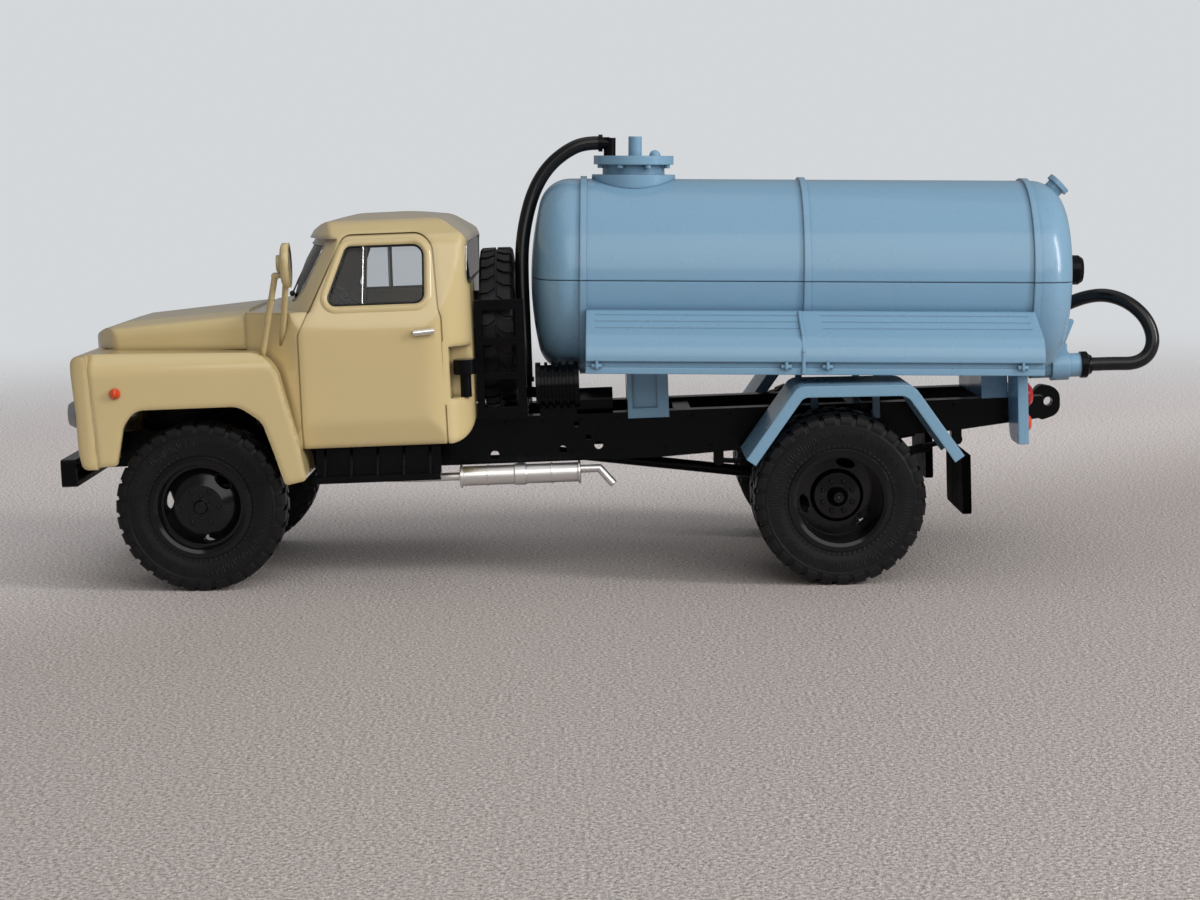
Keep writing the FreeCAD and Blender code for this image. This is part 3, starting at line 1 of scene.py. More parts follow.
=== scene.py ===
import bpy
import bmesh
import math
import random
from mathutils import Matrix, Vector
from mathutils.bvhtree import BVHTree


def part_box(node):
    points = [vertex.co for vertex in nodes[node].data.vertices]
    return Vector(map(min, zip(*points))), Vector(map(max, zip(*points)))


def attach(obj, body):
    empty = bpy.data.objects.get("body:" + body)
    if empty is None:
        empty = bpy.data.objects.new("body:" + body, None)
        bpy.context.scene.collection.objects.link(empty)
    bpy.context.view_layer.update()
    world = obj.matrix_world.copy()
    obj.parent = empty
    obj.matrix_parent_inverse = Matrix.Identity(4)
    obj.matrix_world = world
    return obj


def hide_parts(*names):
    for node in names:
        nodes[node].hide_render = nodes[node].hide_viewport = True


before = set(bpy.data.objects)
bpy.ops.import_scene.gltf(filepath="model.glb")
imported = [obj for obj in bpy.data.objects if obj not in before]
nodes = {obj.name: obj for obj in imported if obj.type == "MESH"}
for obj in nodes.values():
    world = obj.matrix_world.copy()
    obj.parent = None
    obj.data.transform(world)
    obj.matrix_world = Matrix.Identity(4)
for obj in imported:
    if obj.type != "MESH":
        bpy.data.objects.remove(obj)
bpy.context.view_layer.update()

MM = 0.001
scene = bpy.context.scene

# Chassis frame: the truck is drawn square to its rails, then tipped by its rake
rake = math.radians(1.2)
axle_front = sum(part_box("front_left_tyre"), Vector()) / 2
axle_x = axle_front.x / MM
axle_z = axle_front.z / MM


def place(x, y, z):
    """A chassis-frame point in millimetres as a scene point in metres."""
    along = x * math.cos(rake) + z * math.sin(rake) + axle_x
    return Vector((along, y, z * math.cos(rake) - x * math.sin(rake) + axle_z)) * MM


tank_tilt = math.radians(2.5)
tank_middle = (-83.425, 26.9)
tank_half, tank_radius = 38.125, 13.7


def tank_place(x, y, z):
    """A point of the tank's own frame in millimetres as a scene point in metres."""
    return place(tank_middle[0] + x * math.cos(tank_tilt) - z * math.sin(tank_tilt), y,
                 tank_middle[1] + x * math.sin(tank_tilt) + z * math.cos(tank_tilt))


# Camera, fitted to the photo: lens in pixels of the photo's width, spot in millimetres, turn in degrees
photo_width, focal_length = 1200, 2348
sensor_width = 36
behind_axle, beside_axle, above_ground = 54.05, 335.2, 57.32
pitch, roll = math.radians(7.077), math.radians(1.025)
camera_data = bpy.data.cameras.new("camera")
camera = bpy.data.objects.new("camera", camera_data)
scene.collection.objects.link(camera)
scene.camera = camera
camera_data.sensor_width = sensor_width
camera_data.lens = focal_length / photo_width * sensor_width
camera_data.clip_start = 0.01
camera_data.dof.use_dof = False
forward = Vector((0, -math.cos(pitch), -math.sin(pitch)))
right = Vector((-1, 0, 0))
up = right.cross(forward)
camera_right = math.cos(roll) * right - math.sin(roll) * up
camera_up = math.cos(roll) * up + math.sin(roll) * right
turn = Matrix((camera_right, camera_up, -forward)).transposed().to_4x4()
camera_at = Vector(((axle_x - behind_axle) * MM, beside_axle * MM, above_ground * MM))
camera.matrix_world = Matrix.Translation(camera_at) @ turn

# Materials


def principled(name, color, rough, metal=0.0, coat=0.0, coat_rough=0.05, spec=0.5, transmission=0.0,
               ior=1.45):
    """A material with its main shader; constants sit on the shader's own sockets."""
    mat = bpy.data.materials.new(name)
    mat.use_nodes = True
    shader = mat.node_tree.nodes["Principled BSDF"]
    shader.inputs["Base Color"].default_value = (*color, 1)
    shader.inputs["Roughness"].default_value = rough
    shader.inputs["Metallic"].default_value = metal
    shader.inputs["Coat Weight"].default_value = coat
    shader.inputs["Coat Roughness"].default_value = coat_rough
    shader.inputs["Specular IOR Level"].default_value = spec
    shader.inputs["Transmission Weight"].default_value = transmission
    shader.inputs["IOR"].default_value = ior
    return mat, mat.node_tree, shader


def add(tree, kind, **values):
    """A node with its properties and input values set by name."""
    made = tree.nodes.new(kind)
    for key, value in values.items():
        if hasattr(made, key):
            setattr(made, key, value)
        else:
            made.inputs[key.replace("_", " ")].default_value = value
    return made


def coordinates(tree):
    return add(tree, "ShaderNodeTexCoord").outputs["Object"]


def mottle(tree, color, scale, amount):
    """Faint changes of tone over the surface, so that no panel is one flat colour."""
    where = coordinates(tree)
    cloud = add(tree, "ShaderNodeTexNoise", Scale=scale, Detail=4.0, Roughness=0.6)
    tree.links.new(where, cloud.inputs["Vector"])
    ramp = add(tree, "ShaderNodeValToRGB")
    dark = [c * (1 - amount) for c in color]
    light = [min(1, c * (1 + amount)) for c in color]
    ramp.color_ramp.elements[0].color = (*dark, 1)
    ramp.color_ramp.elements[0].position = 0.35
    ramp.color_ramp.elements[1].color = (*light, 1)
    ramp.color_ramp.elements[1].position = 0.65
    tree.links.new(cloud.outputs["Fac"], ramp.inputs["Fac"])
    return ramp.outputs["Color"]


def seam_dirt_and_shade(tree, color, dirt_and_shade, reach, strength):
    """Painted shade in seams and corners, from how shut in a point is, mixed with a little seam dirt."""
    shut = add(tree, "ShaderNodeAmbientOcclusion", samples=8, Distance=reach)
    spread = add(tree, "ShaderNodeMapRange", From_Min=0.35, From_Max=0.9, To_Min=strength, To_Max=0.0)
    tree.links.new(shut.outputs["AO"], spread.inputs["Value"])
    mix = add(tree, "ShaderNodeMix", data_type="RGBA")
    tree.links.new(spread.outputs["Result"], mix.inputs["Factor"])
    tree.links.new(color, mix.inputs[6])
    mix.inputs[7].default_value = (*dirt_and_shade, 1)
    return mix.outputs[2]


def soft_edges(tree, shader, radius, scale, depth, detail):
    """Edges rounded in the light, with a fine surface bump over them."""
    rounding = add(tree, "ShaderNodeBevel", samples=4, Radius=radius)
    grain = add(tree, "ShaderNodeTexNoise", Scale=scale, Detail=detail, Roughness=0.55)
    tree.links.new(coordinates(tree), grain.inputs["Vector"])
    bump = add(tree, "ShaderNodeBump", Strength=1.0, Distance=depth)
    tree.links.new(grain.outputs["Fac"], bump.inputs["Height"])
    tree.links.new(rounding.outputs["Normal"], bump.inputs["Normal"])
    tree.links.new(bump.outputs["Normal"], shader.inputs["Normal"])


def uneven_gloss(tree, shader, low, high, scale):
    """Roughness that wanders between two values, as handling leaves it."""
    cloud = add(tree, "ShaderNodeTexNoise", Scale=scale, Detail=5.0, Roughness=0.65)
    tree.links.new(coordinates(tree), cloud.inputs["Vector"])
    spread = add(tree, "ShaderNodeMapRange", From_Min=0.3, From_Max=0.7, To_Min=low, To_Max=high)
    tree.links.new(cloud.outputs["Fac"], spread.inputs["Value"])
    tree.links.new(spread.outputs["Result"], shader.inputs["Roughness"])


def painted(name, color, dirt_and_shade, low, high, coat, edge, spec):
    """Gloss colour under a clear coat, darkened in its seams by painted shade and a little dirt."""
    mat, tree, shader = principled(name, color, low, coat=coat, coat_rough=0.04, spec=spec)
    tone = mottle(tree, color, scale=35, amount=0.02)
    # painted shade with a little dirt in the seams, from how shut in each point is
    tone = seam_dirt_and_shade(tree, tone, dirt_and_shade, reach=0.0012, strength=0.45)
    tree.links.new(tone, shader.inputs["Base Color"])
    uneven_gloss(tree, shader, low, high, scale=90)
    soft_edges(tree, shader, edge, scale=900, depth=0.000006, detail=2.0)
    return mat


def moulded(name, color, low, high, grain=1600, depth=0.000012, spec=0.5, edge=0.00012):
    """Plain plastic or rubber in its own colour, with the mould's fine grain."""
    mat, tree, shader = principled(name, color, low, spec=spec)
    tone = mottle(tree, color, scale=120, amount=0.12)
    tree.links.new(tone, shader.inputs["Base Color"])
    uneven_gloss(tree, shader, low, high, scale=200)
    soft_edges(tree, shader, edge, grain, depth, detail=4.0)
    return mat


def lens(name, color, rough=0.08):
    """Clear coloured plastic with a pattern of small facets."""
    mat, tree, shader = principled(name, color, rough, coat=0.4, coat_rough=0.03, transmission=0.2, ior=1.5)
    facets = add(tree, "ShaderNodeTexVoronoi", Scale=1500.0)
    tree.links.new(coordinates(tree), facets.inputs["Vector"])
    bump = add(tree, "ShaderNodeBump", Strength=0.4, Distance=0.00004)
    tree.links.new(facets.outputs["Distance"], bump.inputs["Height"])
    tree.links.new(bump.outputs["Normal"], shader.inputs["Normal"])
    tone = mottle(tree, color, scale=300, amount=0.1)
    tree.links.new(tone, shader.inputs["Base Color"])
    return mat


def metal(name, color, low, high, grain=2500):
    """Bare or silvered metal."""
    mat, tree, shader = principled(name, color, low, metal=1.0)
    tone = mottle(tree, color, scale=200, amount=0.06)
    tree.links.new(tone, shader.inputs["Base Color"])
    uneven_gloss(tree, shader, low, high, scale=250)
    soft_edges(tree, shader, 0.0001, grain, depth=0.000006, detail=3.0)
    return mat


def window_glass():
    """Thin clear plastic: mostly see-through, with a faint wavy reflection."""
    mat = bpy.data.materials.new("clear_plastic")
    mat.use_nodes = True
    tree = mat.node_tree
    tree.nodes.remove(tree.nodes["Principled BSDF"])
    cloud = add(tree, "ShaderNodeTexNoise", Scale=60.0, Detail=2.0)
    tree.links.new(coordinates(tree), cloud.inputs["Vector"])
    bump = add(tree, "ShaderNodeBump", Strength=0.3, Distance=0.00002)
    tree.links.new(cloud.outputs["Fac"], bump.inputs["Height"])
    tint = add(tree, "ShaderNodeBsdfTransparent")
    tone = mottle(tree, (0.86, 0.87, 0.88), scale=40, amount=0.01)
    tree.links.new(tone, tint.inputs["Color"])
    sheen = add(tree, "ShaderNodeBsdfGlossy", Roughness=0.03)
    tree.links.new(bump.outputs["Normal"], sheen.inputs["Normal"])
    edge = add(tree, "ShaderNodeFresnel", IOR=1.3)
    tree.links.new(bump.outputs["Normal"], edge.inputs["Normal"])
    mix = add(tree, "ShaderNodeMixShader")
    tree.links.new(edge.outputs["Fac"], mix.inputs["Fac"])
    tree.links.new(tint.outputs["BSDF"], mix.inputs[1])
    tree.links.new(sheen.outputs["BSDF"], mix.inputs[2])
    tree.links.new(mix.outputs["Shader"], tree.nodes["Material Output"].inputs["Surface"])
    return mat


def tyre_rubber():
    """Dark rubber with a dusty, finely pitted skin."""
    mat, tree, shader = principled("tyre_rubber", (0.005, 0.005, 0.006), 0.5, spec=0.28)
    tone = mottle(tree, (0.005, 0.0048, 0.006), scale=250, amount=0.25)
    # painted shade, darkest in the crevices between lugs and marks
    tone = seam_dirt_and_shade(tree, tone, (0.002, 0.002, 0.002), reach=0.0008, strength=0.8)
    tree.links.new(tone, shader.inputs["Base Color"])
    uneven_gloss(tree, shader, low=0.34, high=0.54, scale=400)
    soft_edges(tree, shader, 0.00008, scale=1400, depth=0.00003, detail=6.0)
    return mat


cream = (0.63, 0.50, 0.255)
blue = (0.20, 0.36, 0.51)
black = (0.002, 0.002, 0.003)
mats = {
    # the second colour of each paint darkens its seams: painted shade with a little dirt
    "cream": painted("cream_paint", cream, dirt_and_shade=(0.22, 0.15, 0.06), low=0.10, high=0.17, coat=0.6,
                     edge=0.0012, spec=0.4),
    "blue": painted("blue_plastic", blue, dirt_and_shade=(0.05, 0.11, 0.18), low=0.24, high=0.32, coat=0.25,
                    edge=0.0003, spec=0.4),
    "black": moulded("black_plastic", black, 0.2, 0.3, spec=0.15),
    "rim": moulded("rim_plastic", (0.003, 0.003, 0.004), 0.1, 0.18, spec=0.4),
    "hose": moulded("hose_rubber", (0.006, 0.006, 0.007), 0.18, 0.3, grain=500, depth=0.00002, spec=0.4),
    "flap": moulded("flap_rubber", (0.0008, 0.0008, 0.0012), 0.4, 0.6, spec=0.02),
    "interior": moulded("interior_plastic", (0.03, 0.028, 0.027), 0.4, 0.6),
    "seat": moulded("seat_plastic", (0.10, 0.065, 0.04), 0.5, 0.7),
    "amber": lens("amber_lens", (0.80, 0.07, 0.006)),
    "red": lens("red_lens", (0.5, 0.01, 0.01)),
    "lamp": lens("lamp_lens", (0.30, 0.31, 0.33), rough=0.04),
    "silver": metal("silencer_silver", (0.80, 0.78, 0.77), 0.28, 0.42),
    "chrome": metal("chrome", (0.78, 0.77, 0.74), 0.08, 0.18),
    "steel": metal("pin_steel", (0.55, 0.55, 0.56), 0.2, 0.35),
    "mirror": metal("mirror_foil", (0.62, 0.63, 0.64), 0.1, 0.22, grain=1200),
    "gasket": moulded("gasket_rubber", (0.008, 0.008, 0.009), 0.3, 0.5, grain=2200, depth=0.000008,
                      edge=0.00005),
    "glass": window_glass(),
    "tyre": tyre_rubber(),
}

# Which solids have which look
looks = {
    "cream": ["cab_shell", "bonnet", "front_panel", "grille", "wing_left", "wing_right", "door_mirrors"],
    "blue": ["tank_upper", "tank_lower", "hose_trays", "tank_cradles", "manhole", "outlet_valve",
             "tank_vent", "rear_mudguards", "rear_lamp_panels"],
    "black": ["frame", "leaf_springs", "front_axle_beam", "rear_axle", "engine_gearbox", "propeller_shaft",
              "cab_steps", "front_bumper", "spare_carrier", "hose_elbow", "vacuum_pump", "hose_coupling",
              "sight_glass", "tow_hook", "fuel_filler"],
    "rim": ["front_left_rim", "front_right_rim", "rear_left_rims", "rear_right_rims", "spare_rim"],
    "tyre": ["front_left_tyre", "front_right_tyre", "rear_left_tyres", "rear_right_tyres", "spare_tyre"],
    "hose": ["vacuum_hose", "suction_hose"],
    "flap": ["mudflaps"],
    "interior": ["cab_floor", "dashboard", "steering_wheel"],
    "seat": ["seat"],
    "glass": ["windscreen", "rear_window", "door_glasses"],
    "amber": ["turn_lamps"],
    "red": ["rear_stop_lamps"],
    "lamp": ["headlamps"],
    "silver": ["exhaust"],
    "chrome": ["door_handles"],
    "steel": ["axle_pins"],
}
for look, names in looks.items():
    for name in names:
        nodes[name].data.materials.clear()
        nodes[name].data.materials.append(mats[look])

# Helpers for new pieces


def new_piece(name, mesh_or_curve, look, body):
    """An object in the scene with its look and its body."""
    made = bpy.data.objects.new(name, mesh_or_curve)
    scene.collection.objects.link(made)
    made.data.materials.append(mats[look])
    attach(made, body)
    return made


def from_bmesh(name, bm, look, body, angle=35):
    """A piece from a finished mesh, smooth except at edges sharper than the angle."""
    mesh = bpy.data.meshes.new(name)
    bm.normal_update()
    bm.to_mesh(mesh)
    bm.free()
    mesh.shade_smooth()
    mesh.set_sharp_from_angle(angle=math.radians(angle))
    return new_piece(name, mesh, look, body)


def angles(count, shift=0.0):
    """Evenly spaced angles of one full turn, started later by a share of one step."""
    return [2 * math.pi * (k + shift) / count for k in range(count)]


def bridge(bm, one, two, closed=True):
    """Four-sided faces from one row of points to the next, all round where the rows are closed."""
    for i in range(len(one) if closed else len(one) - 1):
        k = (i + 1) % len(one)
        bm.faces.new((one[i], one[k], two[k], two[i]))


def bar(bm, start, end, width, height, up_way):
    """A small straight bar between two scene points, its top edges chamfered, its section in mm."""
    along = (end - start).normalized()
    across = along.cross(up_way).normalized()
    out = across.cross(along).normalized()
    shape = [(-0.5, -0.5), (0.5, -0.5), (0.5, 0.25), (0.3, 0.5), (-0.3, 0.5), (-0.5, 0.25)]
    rings = []
    for at in (start, end):
        rings.append([bm.verts.new(at + across * a * width * MM + out * b * height * MM) for a, b in shape])
    bridge(bm, *rings)
    bm.faces.new(rings[0][::-1])
    bm.faces.new(rings[1])


def stud(bm, at, way, radius, height, sides=6):
    """A nut with a domed stud in it, standing on a surface point, its sizes in mm."""
    turn = way.to_track_quat("Z", "X").to_matrix()
    profile = [(radius, -0.1), (radius, height * 0.55), (radius * 0.86, height * 0.68),
               (radius * 0.55, height * 0.7), (radius * 0.5, height * 0.95), (radius * 0.3, height)]
    rings = []
    for r, h in profile:
        ring = []
        for t in angles(sides):
            ring.append(bm.verts.new(at + turn @ Vector((math.cos(t) * r, math.sin(t) * r, h)) * MM))
        rings.append(ring)
    for one, two in zip(rings, rings[1:]):
        bridge(bm, one, two)
    bm.faces.new(rings[-1])


# Hoses, along the same routes as their solids
hose_diameter = 1.95 * MM
manhole_x, flange_top = 23.675, tank_radius + 3.25
elbow_end, elbow_z = manhole_x + 3.4 + 1.6, flange_top + 1.75
inlet_top, tank_crest = 14.4, tank_middle[1] + tank_radius
fall = tank_crest - inlet_top
vacuum_route = [tank_place(elbow_end, 0, elbow_z), tank_place(elbow_end + 1.9, 0, elbow_z)]
for x, y, z in ((-51.2, 0.0, tank_crest + 5.4), (-48.4, 0.1, tank_crest + 3.3),
                (-46.3, 0.4, tank_crest + 0.2), (-45.0, 1.0, inlet_top + 0.863 * fall),
                (-44.2, 1.9, inlet_top + 0.702 * fall),
                (-44.05, 2.8, inlet_top + 0.519 * fall), (-44.1, 3.6, inlet_top + 0.313 * fall),
                (-44.1, 4.6, inlet_top + 3.6), (-44.1, 4.6, inlet_top)):
    vacuum_route.append(place(x, y, z))
rear_x = tank_middle[0] - tank_half * math.cos(tank_tilt)
rear_z = tank_middle[1] - tank_half * math.sin(tank_tilt)
coupling_end = -124.9
suction_route = [place(coupling_end, 0, rear_z - 0.915 * tank_radius)]
for dx, dy, dz in ((-0.481, 0.0, -0.915), (-0.712, 0.0, -0.926), (-0.862, -0.007, -0.838),
                   (-0.914, -0.029, -0.666), (-0.849, -0.088, -0.455), (-0.688, -0.182, -0.290),
                   (-0.488, -0.321, -0.212), (-0.302, -0.490, -0.238), (-0.120, -0.615, -0.318),
                   (0.055, -0.694, -0.392)):
    suction_route.append(place(rear_x + dx * tank_radius, dy * tank_radius, rear_z + dz * tank_radius))


def hose(name, route):
    """A round hose along a route, in place of the plain solid."""
    curve = bpy.data.curves.new(name, "CURVE")
    curve.dimensions = "3D"
    curve.bevel_depth = hose_diameter / 2
    curve.bevel_resolution = 8
    curve.resolution_u = 16
    curve.use_fill_caps = True
    spline = curve.splines.new("NURBS")
    spline.points.add(len(route) - 1)
    for point, where in zip(spline.points, route):
        point.co = (*where, 1)
    spline.order_u = 3
    spline.use_endpoint_u = True
    piece = new_piece(name + "_line", curve, "hose", "truck")
    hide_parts(name)


hose("vacuum_hose", vacuum_route)
hose("suction_hose", suction_route)

# Trim that lies on the cab's skin


def skin_of(names):
    """The surface of some solids, to lay trim on."""
    verts, faces = [], []
    for name in names:
        part = nodes[name]
        first = len(verts)
        verts += [part.matrix_world @ v.co for v in part.data.vertices]
        faces += [[first + i for i in f.vertices] for f in part.data.polygons]
    return BVHTree.FromPolygons(verts, faces)


def rounded(points):
    """Points (a, b, corner radius) of an outline as a dense closed run, in mm."""
    per_corner, spacing = 7, 0.8
    run = []
    for i, (a, b, radius) in enumerate(points):
        here = Vector((a, b))
        before = (Vector(points[i - 1][:2]) - here).normalized()
        after = (Vector(points[(i + 1) % len(points)][:2]) - here).normalized()
        half = before.angle(after) / 2
        middle = here + (before + after).normalized() * radius / math.sin(half)
        reach = radius / math.tan(half)
        first = here + before * reach - middle
        last = here + after * reach - middle
        swing = first.angle_signed(last)
        for k in range(per_corner + 1):
            run.append(middle + Matrix.Rotation(-swing * k / per_corner, 2) @ first)
    dense = []
    for i, p in enumerate(run):
        gap = run[(i + 1) % len(run)] - p
        steps = max(1, int(gap.length / spacing))
        dense += [p + gap * k / steps for k in range(steps)]
    return dense


def inward(run):
    """The direction towards the inside at each point of a closed run."""
    area = sum(p.x * q.y - q.x * p.y for p, q in zip(run, run[1:] + run[:1]))
    ways = []
    for i in range(len(run)):
        along = (run[(i + 1) % len(run)] - run[i - 1]).normalized()
        ways.append(Vector((-along.y, along.x)) * (1 if area > 0 else -1))
    return ways


def laid_band(bm, run, lift_to, look_from, skin, middle, profile):
    """A closed strip on a skin: profile points are (distance inward, height), in mm."""
    probe = 0.12
    rings = []
    for p, way in zip(run, inward(run)):
        found = []
        for reach in (middle - probe, middle + probe):
            hit, normal = skin.ray_cast(lift_to(p + way * reach), look_from)[:2]
            if hit is None:
                found = []
                break
            if normal.dot(look_from) > 0:
                normal = -normal
            found.append((hit, normal))
        if not found:
            rings.append(None)
            continue
        base = (found[0][0] + found[1][0]) / 2
        across = (found[1][0] - found[0][0]).normalized()
        out = (found[0][1] + found[1][1]).normalized()
        rings.append([bm.verts.new(base + (across * (w - middle) + out * h) * MM) for w, h in profile])
    for one, two in zip(rings, rings[1:] + rings[:1]):
        if one and two:
            bridge(bm, one, two, closed=False)


gasket_profile = [(-0.02, -0.1), (-0.02, 0.2), (0.06, 0.28), (0.18, 0.25), (0.27, 0.14), (0.3, -0.1)]
frame_profile = [(-1.05, -0.08), (-0.85, 0.10), (-0.55, 0.24), (-0.25, 0.20), (-0.05, 0.02), (-0.02, -0.25)]
chrome_profile = [(0.03, 0.16), (0.06, 0.32), (0.15, 0.32), (0.19, 0.16)]
gasket_middle, frame_middle = 0.25, -0.55
from_front, from_back, from_side = 20, -60, 40
side_window = rounded([(-18.0, 26.4, 1.1), (-21.1, 34.3, 1.0), (-31.6, 34.3, 1.6), (-31.5, 26.4, 1.3)])
front_window = rounded([(-16.0, 26.9, 1.6), (-14.9, 34.5, 1.4), (14.9, 34.5, 1.4), (16.0, 26.9, 1.6)])
back_window = rounded([(-18.0, 28.6, 1.2), (-17.4, 34.3, 1.2), (17.4, 34.3, 1.2), (18.0, 28.6, 1.2)])
glass_skin = skin_of(["windscreen", "rear_window", "door_glasses"])
cab_skin = skin_of(["cab_shell"])
forward_way = (place(1, 0, 0) - place(0, 0, 0)).normalized()
window_spots = []
for side in (1, -1):
    inwards = Vector((0, -side, 0))
    window_spots.append((side_window, lambda q, side=side: place(q.x, from_side * side, q.y), inwards))
window_spots.append((front_window, lambda q: place(from_front, q.x, q.y), -forward_way))
window_spots.append((back_window, lambda q: place(from_back, q.x, q.y), forward_way))

bm = bmesh.new()
for run, lift_to, way in window_spots:
    laid_band(bm, run, lift_to, way, glass_skin, gasket_middle, gasket_profile)
from_bmesh("window_gaskets", bm, "gasket", "truck", angle=50)
bm = bmesh.new()
for run, lift_to, way in window_spots[2:]:
    laid_band(bm, run, lift_to, way, glass_skin, gasket_middle, chrome_profile)
from_bmesh("window_bright_lines", bm, "chrome", "truck", angle=50)
bm = bmesh.new()
for run, lift_to, way in window_spots[:2]:
    laid_band(bm, run, lift_to, way, cab_skin, frame_middle, frame_profile)
from_bmesh("door_window_frames", bm, "cream", "truck", angle=50)

# Quarter lights: a dark post with a bright line in each side window
posts = bmesh.new()
bright = bmesh.new()
for side in (1, -1):
    out = Vector((0, side, 0))
    starts = [place(-23.5, from_side * side, 26.5), place(-23.8, from_side * side, 34.2)]
    low, high = [glass_skin.ray_cast(p, Vector((0, -side, 0)))[0] for p in starts]
    bar(posts, low, high, width=0.42, height=0.3, up_way=out)
    shift = Vector((0.34 * MM, 0.04 * side * MM, 0))
    bar(bright, low + shift, high + shift, width=0.16, height=0.3, up_way=out)
from_bmesh("quarter_light_posts", posts, "gasket", "truck")
from_bmesh("quarter_light_trims", bright, "chrome", "truck")

# Wipers: an arm and a blade on each half of the windscreen
bm = bmesh.new()
ahead = forward_way + Vector((0, 0, 0.5))
stand_off = forward_way * 0.45 * MM
for foot_y, tip_y in ((12.0, 4.5), (-2.5, -10.0)):
    foot = glass_skin.ray_cast(place(from_front, foot_y, 27.9), -forward_way)[0] + stand_off
    tip = glass_skin.ray_cast(place(from_front, tip_y, 30.2), -forward_way)[0] + stand_off
    bar(bm, foot, tip, width=0.22, height=0.22, up_way=ahead)
    along = (tip - foot).normalized()
    shift = along.cross(ahead).normalized() * 0.1 * MM
    blade_low = tip - along * 3.4 * MM - shift
    blade_high = tip + along * 2.2 * MM - shift
    bar(bm, blade_low, blade_high, width=0.3, height=0.3, up_way=ahead)
    pivot = Matrix.Translation(foot)
    bmesh.ops.create_uvsphere(bm, u_segments=12, v_segments=8, radius=0.4 * MM, matrix=pivot)
from_bmesh("wipers", bm, "gasket", "truck")

# Wheel nuts: two rings of six in front, one ring of eight behind
for side, word in ((1, "left"), (-1, "right")):
    out = Vector((0, side, 0))
    middle = sum(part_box("front_%s_tyre" % word), Vector()) / 2
    bm = bmesh.new()
    for ring_radius, size, shift in ((2.35, 0.36, 0.0), (1.5, 0.26, 0.5)):
        for t in angles(6, shift):
            spot = Vector((math.cos(t) * ring_radius, 2.2 * side, math.sin(t) * ring_radius)) * MM
            stud(bm, middle + spot, out, radius=size, height=0.42)
    from_bmesh("front_%s_wheel_nuts" % word, bm, "rim", "front_%s_wheel" % word, angle=40)
    middle = sum(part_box("rear_%s_tyres" % word), Vector()) / 2
    bm = bmesh.new()
    for t in angles(8, 0.5):
        spot = Vector((math.cos(t) * 2.15, 1.38 * side, math.sin(t) * 2.15)) * MM
        stud(bm, middle + spot, out, radius=0.36, height=0.6)
    from_bmesh("rear_%s_wheel_nuts" % word, bm, "rim", "rear_%s_wheels" % word, angle=40)

# Rivets along the rails
upper_row = [(-36.0 - 5.2 * i, 8.7) for i in range(14)]
lower_row = [(-44.0 - 6.4 * i, 4.2 + 0.05 * i) for i in range(6)]
rail_side = 10.2
bm = bmesh.new()
for side in (1, -1):
    out = Vector((0, side, 0))
    for x, z in upper_row + lower_row:
        stud(bm, place(x, rail_side * side, z), out, radius=0.24, height=0.3, sides=8)
from_bmesh("frame_rivets", bm, "black", "truck")

# Mirrors: foil on the rear face, a rounded back
mirror_y, mirror_z = 25.2, 32.3
foils = bmesh.new()
backs = bmesh.new()
mirror_faces = [(foils, -14.37, -0.12, 1.68, 2.72), (backs, -13.46, 0.5, 1.86, 2.9)]
for side in (1, -1):
    for target, x0, bulge, wide, tall in mirror_faces:
        rings = []
        for k in range(5):
            share = math.cos(k / 5 * math.pi / 2)
            depth = math.sin(k / 5 * math.pi / 2) * bulge
            ring = []
            for t in angles(32):
                y = mirror_y * side + wide * share * math.cos(t)
                z = mirror_z + tall * share * math.sin(t)
                ring.append(target.verts.new(place(x0 + depth, y, z)))
            rings.append(ring)
        for one, two in zip(rings, rings[1:]):
            bridge(target, one, two)
        target.faces.new(rings[-1])
bmesh.ops.recalc_face_normals(foils, faces=foils.faces)
bmesh.ops.recalc_face_normals(backs, faces=backs.faces)
from_bmesh("mirror_foils", foils, "mirror", "truck", angle=50)
from_bmesh("mirror_backs", backs, "cream", "truck", angle=50)

# Rims round the headlamps and the turn lamps above them
lamp_y, lamp_front = 17.3, 16.1
rim_profile = [(0.28, -0.5), (0.28, 0.05), (0.12, 0.28), (-0.12, 0.34), (-0.3, 0.2), (-0.34, -0.05)]
bm = bmesh.new()
for side in (1, -1):
    for lamp_z, radius in ((12.9, 2.7), (18.2, 1.3)):
        rings = []
        for t in angles(48):
            ring = []
            for dr, dx in rim_profile:
                r = radius + dr - 0.05
                at = place(lamp_front + dx, lamp_y * side + r * math.cos(t), lamp_z + r * math.sin(t))
                ring.append(bm.verts.new(at))
            rings.append(ring)
        for one, two in zip(rings, rings[1:] + rings[:1]):
            bridge(bm, one, two, closed=False)
bmesh.ops.recalc_face_normals(bm, faces=bm.faces)
from_bmesh("lamp_rims", bm, "gasket", "truck", angle=40)

# Latches and ribs on the hose trays, in the tank's frame


def tank_bar(bm, start, end, width, height, up_way):
    bar(bm, tank_place(*start), tank_place(*end), width, height, up_way)


latch_y, latch_z, latch_half = 23.1, -10.9, 0.7
catch_y, catch_low, catch_high = 23.2, -11.3, -10.2
rib_line = [(14.75, -4.1), (18.6, -5.6), (21.6, -6.9), (23.1, -9.0), (23.2, -11.9)]
rib_x = 1.2
bm = bmesh.new()
for side in (1, -1):
    out = Vector((0, side, 0))
    for x in (28.8, 3.5, -2.0, -28.1):
        ends = [(x - latch_half, latch_y * side, latch_z), (x + latch_half, latch_y * side, latch_z)]
        tank_bar(bm, *ends, width=0.55, height=0.6, up_way=out)
        ends = [(x, catch_y * side, catch_low), (x, catch_y * side, catch_high)]
        tank_bar(bm, *ends, width=0.45, height=0.7, up_way=out)
    for (ya, za), (yb, zb) in zip(rib_line, rib_line[1:]):
        ends = [(rib_x, ya * side, za), (rib_x, yb * side, zb)]
        tank_bar(bm, *ends, width=0.5, height=0.3, up_way=Vector((0, side, 1)))
from_bmesh("tray_latches", bm, "blue", "truck")

